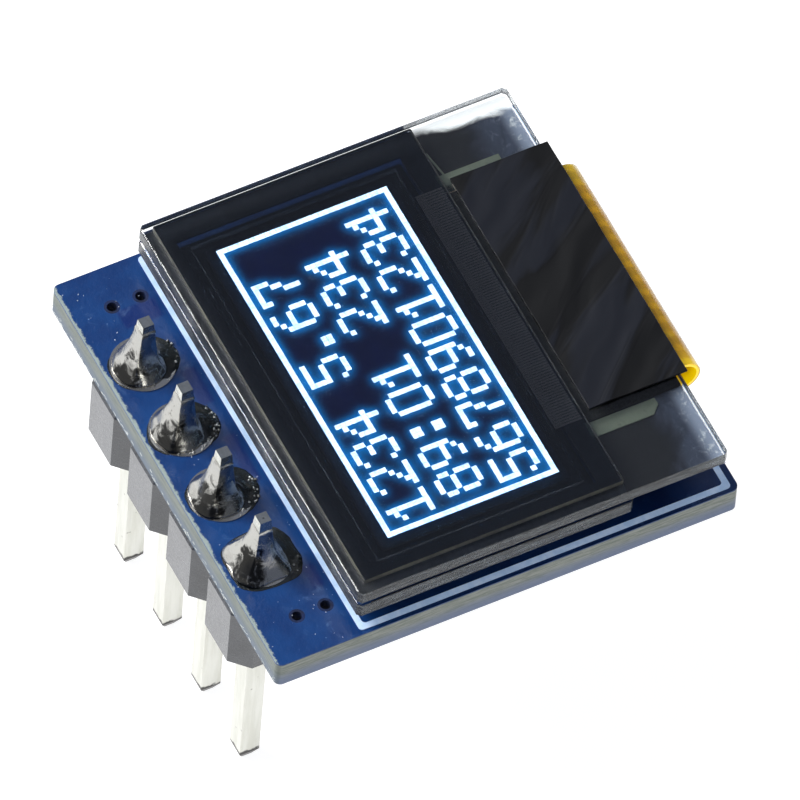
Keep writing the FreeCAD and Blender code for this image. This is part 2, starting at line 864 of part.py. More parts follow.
def build():
    """Every piece of the module, in the order that it goes together."""
    pieces = [circuit_board(), silkscreen_frame()]
    for number in range(1, PIN_COUNT + 1):
        pieces.append(plated_pin_hole(f"pin_hole_plating_{number}", pin_x(number)))
    for number, (x, y) in enumerate(via_places(), 1):
        pieces.append(plated_via(f"via_plating_{number}", x, y))
    pieces.append(header_housing())
    for number in range(1, PIN_COUNT + 1):
        pieces.append(header_pin(number))
        pieces.append(solder_joint(number))
    pieces += [foam_pad(), cover_glass(), getter_sheet(), edge_seal(), emitting_layer(), ledge_tracks(),
               front_glass(), polarizer(), driver_chip(), black_tape()]
    pieces += [flex_film(), flex_conductors(), flex_cover(), flex_lands(), flex_solder()]
    for label, kind, x, y in chip_places():
        pieces.append(chip(label, kind, x, y, 90.0))
    pieces += chip_lands_and_solder()
    pieces.append(regulator_body())
    for number, (x, towards) in enumerate(lead_places(), 1):
        pieces.append(regulator_lead(number, x, towards))
    return pieces


def write_pieces(pieces):
    """Check every object and write one file for each piece."""
    doc.recompute()
    for item in doc.Objects:
        if "Invalid" in item.State or "Error" in item.State:
            raise RuntimeError(f"{item.Label} failed: {item.State}")
    os.makedirs("parts", exist_ok=True)
    for piece in pieces:
        shape = piece.Shape
        if shape.isNull() or not shape.isValid():
            raise RuntimeError(f"{piece.Label} has no valid shape")
        shape.exportStep(f"parts/{piece.Label}.step")
        low, high = shape.BoundBox, shape.Volume
        print(f"{piece.Label:22s} solids {len(shape.Solids):3d}  volume {high:9.4f}  "
              f"x {low.XMin:7.3f} {low.XMax:7.3f}  y {low.YMin:8.3f} {low.YMax:7.3f}  "
              f"z {low.ZMin:7.3f} {low.ZMax:7.3f}")


write_sheet()
write_pieces(build())
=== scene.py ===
import logging
import math
import random
from collections.abc import Callable, Iterator
from contextlib import contextmanager
from dataclasses import dataclass
from enum import Enum

import bmesh
import bpy
import numpy as np
from mathutils import Matrix, Vector, noise


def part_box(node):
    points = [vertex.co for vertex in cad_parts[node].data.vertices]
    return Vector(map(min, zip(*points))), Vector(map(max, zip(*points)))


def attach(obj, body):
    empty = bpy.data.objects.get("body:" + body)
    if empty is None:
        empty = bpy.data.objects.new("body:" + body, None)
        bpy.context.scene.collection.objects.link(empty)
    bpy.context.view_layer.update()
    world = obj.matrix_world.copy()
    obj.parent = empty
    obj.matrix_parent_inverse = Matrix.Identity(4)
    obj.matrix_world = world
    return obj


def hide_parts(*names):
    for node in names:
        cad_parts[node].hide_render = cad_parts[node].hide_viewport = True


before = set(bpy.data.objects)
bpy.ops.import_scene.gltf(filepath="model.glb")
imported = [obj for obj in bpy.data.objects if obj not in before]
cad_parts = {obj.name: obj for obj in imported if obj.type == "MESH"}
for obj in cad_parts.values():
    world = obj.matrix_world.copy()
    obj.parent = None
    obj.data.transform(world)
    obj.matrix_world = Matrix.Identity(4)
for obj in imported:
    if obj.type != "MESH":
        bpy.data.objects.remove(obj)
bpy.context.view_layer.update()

# Looks of a small display module: a glass display on a square blue board with
# four header pins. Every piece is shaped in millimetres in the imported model's
# own frame, and scaled to metres when it is finished.

log = logging.getLogger("display_module")

MM = 0.001
CONTACT_GAP = 0.003

# A level face's normal reaches at least this far up or down, and an upright edge rises at least this far.
LEVEL_REACH = 0.9
UPRIGHT_RISE = 0.001

Point = tuple[float, float, float]
Colour = tuple[float, float, float]
Span = tuple[float, float]
Socket = bpy.types.NodeSocket
Test = Callable[[bmesh.types.BMFace | bmesh.types.BMEdge | bpy.types.MeshPolygon], bool]


class Slot(Enum):
    """Material slot names that the pieces are passed; nothing reads them."""

    BOARD = "board_laminate"
    SOLDER = "solder"
    REAR_GLASS = "rear_glass"
    GLASS = "clear_glass"
    SEAL = "seal_glue"
    LIGHT = "light_layer"
    TRACK = "track_metal"
    POLARIZER = "polarizer_film"
    TAPE = "black_tape"


class Element(Enum):
    """What an edit selects."""

    FACE = "FACE"
    EDGE = "EDGE"


def linear(red: float, green: float, blue: float) -> Colour:
    """Turn a display colour from 0 to 255 into the linear colour that shaders take."""
    return tuple(pow(max(level, 0.0) / 255.0, 2.2) for level in (red, green, blue))


def is_rim(face: bmesh.types.BMFace | bpy.types.MeshPolygon) -> bool:
    """Whether a face stands on the rim of a sheet."""
    return abs(face.normal.z) < LEVEL_REACH


def is_top(face: bmesh.types.BMFace) -> bool:
    """Whether a face lies level and looks up."""
    return face.normal.z > LEVEL_REACH


def is_upright(edge: bmesh.types.BMEdge) -> bool:
    """Whether an edge stands upright."""
    return abs(edge.verts[0].co.z - edge.verts[1].co.z) > UPRIGHT_RISE


def node_box(node: str) -> tuple[Vector, Vector]:
    """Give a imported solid's lowest and highest corners in millimetres."""
    low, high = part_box(node)
    return low / MM, high / MM


# Node trees


class NodeTree:
    """A node tree, with a short call for each node that is used more than once."""

    def __init__(self, tree: bpy.types.NodeTree) -> None:
        """Start from an empty tree."""
        self.tree = tree
        self.tree.nodes.clear()

    def node(self, kind: str, inputs: dict | None = None, options: dict | None = None) -> bpy.types.Node:
        """Add a node.

        Args:
            kind: The node's type, without its usual first word.
            inputs: Socket name or number to a value or to the socket that feeds it.
            options: Property name to value.

        Returns:
            The new node.
        """
        made = self.tree.nodes.new(f"ShaderNode{kind}")
        for name, value in (options or {}).items():
            setattr(made, name, value)
        for name, value in (inputs or {}).items():
            if isinstance(value, Socket):
                self.tree.links.new(value, made.inputs[name])
            elif isinstance(value, tuple) and made.inputs[name].type == "RGBA":
                made.inputs[name].default_value = (*value, 1.0)
            else:
                made.inputs[name].default_value = value
        return made

    def sum(self, kind: str, first: float | Socket, second: float | Socket = 0.0) -> Socket:
        """Combine two numbers with the named operation."""
        return self.node("Math", {0: first, 1: second}, {"operation": kind}).outputs[0]

    def span(self, value: Socket, low: float, high: float, start: float = 0.0, end: float = 1.0) -> Socket:
        """Ease from start to end as the value goes from low to high."""
        inputs = {0: value, 1: low, 2: high, 3: start, 4: end}
        return self.node("MapRange", inputs, {"interpolation_type": "SMOOTHSTEP"}).outputs[0]

    def mix(self, factor: float | Socket, first: Colour | Socket, second: Colour | Socket) -> Socket:
        """Mix two colours."""
        return self.node("Mix", {0: factor, 6: first, 7: second}, {"data_type": "RGBA"}).outputs[2]

    def along(self, direction: Point, vector: Socket) -> Socket:
        """How far a vector reaches along a direction."""
        product = self.node("VectorMath", {0: vector, 1: direction}, {"operation": "DOT_PRODUCT"})
        return product.outputs["Value"]


class Graph(NodeTree):
    """A material's node tree, whose place socket gives the surface point in millimetres."""

    def __init__(self, name: str) -> None:
        """Start an empty material.

        Args:
            name: The material's name.
        """
        self.material = bpy.data.materials.new(name)
        self.material.use_nodes = True
        super().__init__(self.material.node_tree)
        self.output = self.tree.nodes.new("ShaderNodeOutputMaterial")
        self.place = self.stretch((1.0 / MM, 1.0 / MM, 1.0 / MM), self.node("TexCoord").outputs["Object"])

    def stretch(self, scale: Point, vector: Socket | None = None, turn: float = 0.0) -> Socket:
        """Turn the surface point about +Z, and then scale it.

        Args:
            scale: The scale along each axis.
            vector: Another vector to use in the surface point's place.
            turn: The turn in degrees.

        Returns:
            The turned and scaled vector.
        """
        point = vector or self.place
        if turn:
            angles = (0.0, 0.0, math.radians(turn))
            point = self.node("Mapping", {"Vector": point, "Rotation": angles}).outputs[0]
        return self.node("Mapping", {"Vector": point, "Scale": scale}).outputs[0]

    def noise(self, scale: float, detail: float = 4.0, rough: float = 0.55, bend: float = 0.0,
              vector: Socket | None = None) -> Socket:
        """Make cloudy noise from 0 to 1.

        Args:
            scale: Cycles in a millimetre.
            detail: How many finer layers are added.
            rough: How strong the finer layers are.
            bend: How far the noise distorts itself.
            vector: Another vector to use in the surface point's place.

        Returns:
            The noise.
        """
        inputs = {"Vector": vector or self.place, "Scale": scale, "Detail": detail, "Roughness": rough,
                  "Distortion": bend}
        return self.node("TexNoise", inputs).outputs[0]

    def cells(self, scale: float) -> Socket:
        """Distance to the nearest of scattered points."""
        return self.node("TexVoronoi", {"Vector": self.place, "Scale": scale}).outputs["Distance"]

    def axis(self, name: str, vector: Socket | None = None) -> Socket:
        """Take one axis of the surface point, in millimetres, or of another vector."""
        return self.node("SeparateXYZ", {0: vector or self.place}).outputs[name]

    def facing(self, name: str) -> Socket:
        """How far the surface faces along an axis, either way, from 0 to 1."""
        normal = self.node("NewGeometry").outputs["Normal"]
        return self.sum("ABSOLUTE", self.axis(name, normal))

    def patch(self, low: Span, high: Span, soft: float) -> Socket:
        """Mark a level rectangle.

        Args:
            low: The corner with the lowest X and Y.
            high: The corner with the highest X and Y.
            soft: How far outside it the mark fades.

        Returns:
            One inside the rectangle, and nought outside it.
        """
        factor = None
        for name, start, end in (("X", low[0], high[0]), ("Y", low[1], high[1])):
            value = self.axis(name)
            past_start = self.span(value, start - soft, start)
            inside = self.sum("MULTIPLY", past_start, self.span(value, end + soft, end))
            factor = inside if factor is None else self.sum("MULTIPLY", factor, inside)
        return factor

    def bump(self, height: Socket, depth: float) -> Socket:
        """Raise the surface by a height field; depth is in millimetres."""
        return self.node("Bump", {"Height": height, "Distance": depth * MM}).outputs[0]

    def surface(self, **inputs: object) -> bpy.types.Node:
        """Add the main shader and send it to the output.

        Args:
            inputs: The shader's inputs, with an underscore for each space in a name.

        Returns:
            The shader.
        """
        named = {name.replace("_", " "): value for name, value in inputs.items()}
        shader = self.node("BsdfPrincipled", named)
        self.tree.links.new(shader.outputs[0], self.output.inputs[0])
        return shader

    def let_through(self, shader: bpy.types.Node, tint: Colour) -> None:
        """Let the lamps shine through a clear shader, so that what is behind it is lit.

        Args:
            shader: The clear shader.
            tint: The colour that their light takes.
        """
        paths = self.node("LightPath")
        veil = self.node("BsdfTransparent", {"Color": tint})
        for name in ("Is Diffuse Ray", "Is Shadow Ray"):
            inputs = {0: paths.outputs[name], 1: shader.outputs[0], 2: veil.outputs[0]}
            shader = self.node("MixShader", inputs)
        self.tree.links.new(shader.outputs[0], self.output.inputs[0])


# Finishes


@dataclass(frozen=True)
class Finish:
    """A surface with a cloudy colour and a fine grain; the other finishes start from it."""

    name: str
    colour: Colour
    second: Colour
    roughness: float = 0.5
    metal: float = 0.0
    cloud: float = 1.2
    grain: float = 14.0
    grain_depth: float = 0.004
    coat: float = 0.0
    glow: float = 0.0

    def material(self) -> bpy.types.Material:
        """Build the finish's material.

        Returns:
            The material.
        """
        graph = Graph(self.name)
        tint = graph.mix(graph.span(graph.noise(self.cloud), 0.35, 0.65), self.colour, self.second)
        fine = graph.noise(self.grain, 5.0, 0.65)
        rough = graph.span(fine, 0.2, 0.8, self.roughness * 0.75, min(self.roughness * 1.3, 1.0))
        graph.surface(Base_Color=tint, Roughness=rough, Metallic=self.metal, Coat_Weight=self.coat,
                      Emission_Color=tint, Emission_Strength=self.glow,
                      Normal=graph.bump(fine, self.grain_depth))
        return graph.material


@dataclass(frozen=True)
class SolderMask(Finish):
    """Blue mask over copper on the faces, and cut fibre laminate on the edges."""

    haze: Colour = linear(120, 158, 205)
    bare: Colour = linear(8, 34, 92)
    fibre: Colour = linear(150, 154, 144)
    resin: Colour = linear(112, 120, 110)
    low_edge: Colour = linear(108, 122, 152)
    sawn: Colour = linear(62, 72, 70)
    torn_rim: Colour = linear(150, 162, 158)
    haze_strength: float = 0.34
    torn_width: float = 0.11
    torn_waver: float = 0.07
    skin: float = 0.07
    gap_start: float = -1.28
    gap_soft: float = 0.14
    gap_strength: float = 0.75

    def material(self) -> bpy.types.Material:
        """Build the board's material.

        Returns:
            The material.
        """
        graph = Graph(self.name)
        low, high = node_box("circuit_board")
        mask = graph.mix(graph.span(graph.noise(0.9), 0.3, 0.7), self.colour, self.second)
        mask = graph.mix(self.gaps(graph), mask, self.bare)
        cloud = graph.span(graph.noise(1.7, 7.0, 0.68, 0.6), 0.53, 0.78, 0.0, self.haze_strength)
        spots = graph.span(graph.cells(2.6), 0.085, 0.03, 0.0, 0.55)
        worn = graph.span(graph.noise(0.55, 2.0), 0.45, 0.6)
        dust = graph.sum("MULTIPLY", graph.sum("MAXIMUM", cloud, spots), worn)
        mask = graph.mix(dust, mask, self.haze)
        waver = graph.span(graph.noise(3.0, 7.0, 0.85), 0.3, 0.7, -self.torn_waver, self.torn_waver)
        torn = graph.sum("ADD", graph.axis("Y"), waver)
        torn = graph.span(torn, high.y - self.torn_width, high.y - self.torn_width + 0.05)
        mask = graph.mix(torn, mask, self.torn_rim)
        level = graph.axis("Z")
        threads = graph.noise(4.0, 6.0, 0.75, 0.3, graph.stretch((0.3, 0.3, 3.5)))
        edge = graph.mix(graph.span(threads, 0.36, 0.62), self.resin, self.fibre)
        waver = graph.sum("ADD", level, graph.sum("MULTIPLY", threads, -0.35))
        edge = graph.mix(graph.span(waver, low.z + 0.5, low.z - 0.05, 0.0, 0.85), edge, self.low_edge)
        header_side = graph.along((0.0, 1.0, 0.0), graph.node("NewGeometry").outputs["Normal"])
        edge = graph.mix(graph.span(header_side, 0.3, 0.8, 0.0, 0.6), edge, self.sawn)
        skin = graph.span(level, high.z - self.skin, high.z - self.skin + 0.05)
        edge = graph.mix(skin, edge, self.colour)
        side = graph.span(graph.facing("Z"), 0.75, 0.35)
        fine = graph.noise(7.0, 6.0, 0.7)
        height = graph.mix(side, fine, threads)
        rough = graph.mix(side, graph.span(dust, 0.0, 0.5, self.roughness, 0.6), (0.85, 0.85, 0.85))
        graph.surface(Base_Color=graph.mix(side, mask, edge), Roughness=rough, Coat_Weight=self.coat,
                      Coat_Roughness=0.15, Normal=graph.bump(height, 0.018))
        return graph.material

    def gaps(self, graph: Graph) -> Socket:
        """Mark where the mask lies on bare laminate between the copper areas, and so looks darker.

        Args:
            graph: The board's material.

        Returns:
            How much darker the mask is.
        """
        corners = ((-1.2, (0.45, -1.02)), (1.85, (3.05, -0.95)), (-5.3, (-4.6, -1.05)), (5.2, (5.75, -0.2)))
        total = 0.0
        for start, end in corners:
            total = graph.sum("MAXIMUM", total, graph.patch((start, self.gap_start), end, self.gap_soft))
        return graph.sum("MULTIPLY", total, self.gap_strength)


@dataclass(frozen=True)
class CastMetal(Finish):
    """Bright metal that froze or was plated, with soft ripples and a few dull spots."""

    ripple: float = 1.6
    ripple_depth: float = 0.03

    def material(self) -> bpy.types.Material:
        """Build the metal's material.

        Returns:
            The material.
        """
        graph = Graph(self.name)
        fine = graph.noise(self.grain, 4.0, 0.6)
        broad = graph.noise(self.ripple, 3.0, 0.5, 0.8)
        dull = graph.span(graph.noise(3.1, 5.0, 0.7), 0.55, 0.75)
        rough = graph.span(dull, 0.0, 1.0, self.roughness, min(self.roughness * 2.0, 0.7))
        height = graph.sum("ADD", broad, graph.sum("MULTIPLY", fine, 0.04))
        graph.surface(Base_Color=self.tint(graph, dull), Metallic=1.0, Roughness=rough,
                      Normal=graph.bump(height, self.ripple_depth))
        return graph.material

    def tint(self, graph: Graph, dull: Socket) -> Socket:
        """Mix the bright metal with the dull."""
        return graph.mix(dull, self.colour, self.second)


@dataclass(frozen=True)
class JointMetal(CastMetal):
    """Solder with a painted dark reflection, mottled, low on one side of each pin of a row."""

    pitch: float = 2.54
    dark_reflection: Colour = linear(16, 16, 17)
    dark_reflection_side: float = 118.0
    dark_reflection_height: float = 1.1
    dark_reflection_fade: float = 0.4
    dark_reflection_strength: float = 0.94

    def tint(self, graph: Graph, dull: Socket) -> Socket:
        """Mix the metals and paint a dark reflection on them.

        Args:
            graph: The solder's material.
            dull: How dull the metal is.

        Returns:
            The colour.
        """
        metal = super().tint(graph, dull)
        # Painted reflection: a mottled dark patch low on one side of each pin, for the dark surroundings that
        # the solder mirrors.
        base = node_box("circuit_board")[1].z
        across = graph.sum("FLOORED_MODULO", graph.axis("X"), self.pitch)
        across = graph.sum("SUBTRACT", across, self.pitch / 2)
        away = graph.node("CombineXYZ", {"X": across, "Y": graph.axis("Y")}).outputs[0]
        unit = graph.node("VectorMath", {0: away}, {"operation": "NORMALIZE"}).outputs[0]
        side = math.radians(self.dark_reflection_side)
        patchy = graph.noise(2.8, 5.0, 0.65, 0.8)
        toward = graph.sum("ADD", graph.along((math.cos(side), math.sin(side), 0.0), unit),
                           graph.span(patchy, 0.3, 0.7, -0.16, 0.16))
        level = graph.sum("ADD", graph.axis("Z"), graph.span(patchy, 0.3, 0.7, 0.3, -0.3))
        crest = base + self.dark_reflection_height
        low_down = graph.span(level, crest, crest - self.dark_reflection_fade)
        shade = graph.sum("MULTIPLY", graph.span(toward, 0.7, 0.92), low_down)
        return graph.mix(graph.sum("MULTIPLY", shade, self.dark_reflection_strength), metal, self.dark_reflection)


@dataclass(frozen=True)
class DrawnMetal(Finish):
    """Plated wire with streaks along its length and dark marks where it was cut."""

    pit: Colour = linear(120, 116, 108)
    cut: Colour = linear(58, 55, 52)
    cut_height: float = 0.5
    wetted: Span = (2.1, 1.4)
    wetted_roughness: float = 0.2

    def material(self) -> bpy.types.Material:
        """Build the pins' material.

        Returns:
            The material.
        """
        graph = Graph(self.name)
        low, high = node_box("header_pin_1")
        streaks = graph.noise(5.0, 4.0, 0.6, 0.0, graph.stretch((1.0, 1.0, 0.1)))
        pits = graph.span(graph.cells(2.2), 0.1, 0.04)
        level = graph.axis("Z")
        torn = graph.sum("ADD", level, graph.span(graph.noise(4.0), 0.3, 0.7, -0.06, 0.06))
        cut = graph.span(torn, low.z + self.cut_height, low.z + self.cut_height - 0.08)
        tint = graph.mix(graph.span(streaks, 0.35, 0.7), self.colour, self.second)
        tint = graph.mix(graph.sum("MULTIPLY", pits, 0.6), tint, self.pit)
        tint = graph.mix(cut, tint, self.cut)
        solder = graph.span(level, high.z - self.wetted[0], high.z - self.wetted[1])
        rough = graph.span(solder, 0.0, 1.0, self.roughness, self.wetted_roughness)
        height = graph.sum("ADD", graph.sum("MULTIPLY", streaks, 0.3), graph.noise(3.5))
        graph.surface(Base_Color=tint, Metallic=graph.span(cut, 0.0, 1.0, 1.0, 0.2), Roughness=rough,
                      Normal=graph.bump(height, 0.012))
        return graph.material


@dataclass(frozen=True)
class ClearGlass(Finish):
    """Thin glass, or another clear sheet: it bends sight, and lamps shine through its tint."""

    tint: Colour = (1.0, 1.0, 1.0)
    smear: float = 0.0
    index: float = 1.5

    def material(self) -> bpy.types.Material:
        """Build the clear sheet's material.

        Returns:
            The material.
        """
        graph = Graph(self.name)
        marks = graph.span(graph.noise(0.8, 6.0, 0.7, 1.0), 0.5, 0.8, 0.0, self.smear)
        height = graph.noise(1.1, 2.0)
        shader = graph.surface(Base_Color=graph.mix(marks, self.colour, self.second), IOR=self.index,
                               Roughness=self.roughness, Transmission_Weight=1.0,
                               Normal=graph.bump(height, 0.0008))
        graph.let_through(shader, self.tint)
        return graph.material


@dataclass(frozen=True)
class GroundGlass(Finish):
    """The cut edge of a sheet of glass: grey, with fine steps across its thickness."""

    def material(self) -> bpy.types.Material:
        """Build the cut edge's material.

        Returns:
            The material.
        """
        graph = Graph(self.name)
        steps = graph.noise(3.0, 5.0, 0.65, 0.5, graph.stretch((0.35, 0.35, 5.0)))
        chips = graph.noise(5.0, 5.0, 0.75)
        tint = graph.mix(graph.span(steps, 0.42, 0.58), self.second, self.colour)
        height = graph.sum("ADD", steps, chips)
        graph.surface(Base_Color=tint, Roughness=self.roughness, Transmission_Weight=0.8, IOR=1.5,
                      Normal=graph.bump(height, 0.02))
        return graph.material


@dataclass(frozen=True)
class LightLayer(Finish):
    """The emitting stack: nearly black, with the blue light that spreads round the lit dots."""

    halo: Colour = (0.0, 0.32, 0.9)
    strength: float = 2.8

    def material(self) -> bpy.types.Material:
        """Build the light layer's material.

        Returns:
            The material.
        """
        graph = Graph(self.name)
        glow = graph.node("Attribute", options={"attribute_name": "glow"}).outputs["Fac"]
        cloud = graph.noise(1.5, 3.0)
        light = graph.mix(glow, self.colour, self.halo)
        shine = graph.sum("MULTIPLY", graph.span(cloud, 0.2, 0.8, 0.8, 1.2), self.strength)
        graph.surface(Base_Color=self.second, Roughness=self.roughness, Emission_Color=light,
                      Emission_Strength=shine)
        return graph.material


@dataclass(frozen=True)
class LitDot(Finish):
    """A lit dot: cold white, a little uneven from dot to dot."""

    strength: float = 9.0

    def material(self) -> bpy.types.Material:
        """Build the lit dots' material.

        Returns:
            The material.
        """
        graph = Graph(self.name)
        uneven = graph.noise(2.5, 2.0)
        light = graph.mix(graph.span(uneven, 0.3, 0.7), self.colour, self.second)
        power = graph.span(uneven, 0.2, 0.8, self.strength * 0.85, self.strength * 1.1)
        graph.surface(Base_Color=(0.0, 0.0, 0.0), Roughness=self.roughness, Emission_Color=light,
                      Emission_Strength=power)
        return graph.material


@dataclass(frozen=True)
class WrinkledTape(Finish):
    """Satin black tape with soft slanting waves: painted sheen on the waves and painted shade in the folds
    between them.
    """

    fold_shade: Colour = linear(12, 12, 14)
    lean: float = 50.0

    def material(self) -> bpy.types.Material:
        """Build the tape's material.

        Returns:
            The material.
        """
        graph = Graph(self.name)
        across = graph.stretch((0.17, 1.0, 1.0), turn=self.lean)
        bands = graph.noise(1.0, 3.0, 0.5, 0.5, across)
        side = graph.sum("ABSOLUTE", graph.sum("SUBTRACT", bands, 0.46))
        crease_shade = graph.span(side, 0.0, 0.045, 1.0, 0.0)
        fine = graph.noise(18.0, 4.0, 0.6)
        # Painted sheen and shade: the waves are lighter and the folds between them are darker.
        tint = graph.mix(graph.span(bands, 0.44, 0.58), self.second, self.colour)
        tint = graph.mix(graph.sum("MULTIPLY", crease_shade, 0.8), tint, self.fold_shade)
        height = graph.sum("ADD", graph.sum("MULTIPLY", fine, 0.05), graph.span(bands, 0.4, 0.6))
        graph.surface(Base_Color=tint, Roughness=graph.span(bands, 0.4, 0.6, 0.6, self.roughness),
                      Specular_IOR_Level=0.25, Normal=graph.bump(height, 0.012))
        return graph.material


@dataclass(frozen=True)
class ShadeGlareSheet(Finish):
    """A sheet behind the ledge that carries painted light: painted shade by the display, painted reflection
    paler towards the rim, and a painted white glow at the far end.
    """

    pale: Colour = linear(160, 170, 192)
    white: Colour = linear(250, 252, 253)
    density: float = 0.98
    white_glow: float = 0.8
    white_span: Span = (0.68, 0.36)
    rim_span: Span = (0.65, 0.2)
    drift_reach: float = 0.35

    def material(self) -> bpy.types.Material:
        """Build the smoky film's material.

        Returns:
            The material.
        """
        graph = Graph(self.name)
        low, high = node_box("front_glass")
        edge = node_box("polarizer")[0].y
        drift = graph.span(graph.noise(0.7, 5.0, 0.6, 0.8), 0.3, 0.7, -self.drift_reach, self.drift_reach)
        depth = graph.sum("ADD", graph.axis("Y"), drift)
        # Painted shade by the display, giving way to painted reflection further out.
        outward = graph.span(depth, edge - 1.5, low.y + 0.3)
        rim = graph.span(graph.axis("Y"), low.y + self.rim_span[0], low.y + self.rim_span[1])
        scuff_glare = graph.span(graph.noise(3.5, 6.0, 0.75, 0.6), 0.52, 0.72)
        tint = graph.mix(outward, self.colour, self.second)
        pale = graph.sum("MAXIMUM", graph.sum("MULTIPLY", scuff_glare, graph.sum("MULTIPLY", outward, 0.3)),
                         graph.sum("MULTIPLY", rim, 0.8))
        tint = graph.mix(pale, tint, self.pale)
        # Painted highlight: white where the streaks meet the rim.
        tint = graph.mix(graph.sum("MULTIPLY", scuff_glare, rim), tint, self.white)
        inner = graph.span(graph.axis("Y"), edge - 1.2, edge - 0.2, 0.0, 0.25)
        breadth = graph.sum("ADD", graph.axis("X"), graph.sum("MULTIPLY", drift, 0.3))
        breadth = graph.sum("SUBTRACT", breadth, inner)
        # Painted glare: the far end turns white and glows by emission.
        far = graph.span(breadth, high.x - self.white_span[0], high.x - self.white_span[1])
        graph.surface(Base_Color=graph.mix(far, tint, self.white), Roughness=self.roughness,
                      Specular_IOR_Level=0.2, Alpha=self.density, Emission_Color=self.white,
                      Emission_Strength=graph.sum("MULTIPLY", far, self.white_glow))
        return graph.material


@dataclass(frozen=True)
class AmberFilm(Finish):
    """Polyimide film: clear amber that lets lamps through, with a painted yellow glow at its folded near end
    that stands in for light coming through the roll.
    """

    see_through: float = 0.3
    lamp_tint: Colour = (1.0, 0.76, 0.06)
    bright: Colour = linear(250, 212, 0)
    painted_end_glow: float = 0.2
    end_reach: float = 0.8
    fold_span: Span = (0.9, 0.6)

    def material(self) -> bpy.types.Material:
        """Build the film's material.

        Returns:
            The material.
        """
        graph = Graph(self.name)
        low, high = node_box("flex_film")
        along = graph.axis("X")
        ends = graph.sum("MAXIMUM", graph.span(along, low.x + 0.7, low.x + 0.05),
                         graph.span(along, high.x - 1.2, high.x - 0.2))
        uneven = graph.noise(2.2, 4.0)
        tint = graph.mix(graph.sum("MAXIMUM", ends, graph.span(uneven, 0.55, 0.75)), self.colour, self.second)
        # Painted glow: the folded near end shines yellow by emission, for light coming through the roll.
        near_end = graph.span(along, low.x + self.end_reach, low.x, 0.0, self.painted_end_glow)
        folded = graph.span(graph.axis("Y"), low.y + self.fold_span[0], low.y + self.fold_span[1])
        near_end = graph.sum("MULTIPLY", near_end, folded)
        shader = graph.surface(Base_Color=tint, Roughness=self.roughness, Coat_Weight=self.coat,
                               Alpha=1.0 - self.see_through, Normal=graph.bump(uneven, 0.01),
                               Emission_Color=self.bright, Emission_Strength=near_end)
        graph.let_through(shader, self.lamp_tint)
        return graph.material


@dataclass(frozen=True)
class ChipFinish(Finish):
    """A chip part: ceramic between two metal ends."""

    node: str = "capacitor_1"
    metal_tint: Colour = linear(206, 205, 200)
    metal_roughness: float = 0.28
    end_width: float = 0.3
    end_soft: float = 0.01

    def material(self) -> bpy.types.Material:
        """Build the chip's material, from how far a point is from the middle of the nearer row of chips.

        Returns:
            The material.
        """
        graph = Graph(self.name)
        low, high = node_box(self.node)
        rows = [sum(corner.y for corner in node_box(name)) / 2 for name in ("capacitor_1", "resistor_1")]
        level = graph.axis("Y")
        away = [graph.sum("ABSOLUTE", graph.sum("SUBTRACT", level, row)) for row in rows]
        reach = (high.y - low.y) / 2 - self.end_width
        ends = graph.span(graph.sum("MINIMUM", *away), reach - self.end_soft, reach + self.end_soft)
        grain = graph.noise(self.grain, 5.0, 0.7)
        tint = graph.mix(graph.span(grain, 0.3, 0.7), self.colour, self.second)
        graph.surface(Base_Color=graph.mix(ends, tint, self.metal_tint), Metallic=ends,
                      Roughness=graph.span(ends, 0.0, 1.0, self.roughness, self.metal_roughness),
                      Normal=graph.bump(grain, self.grain_depth))
        return graph.material


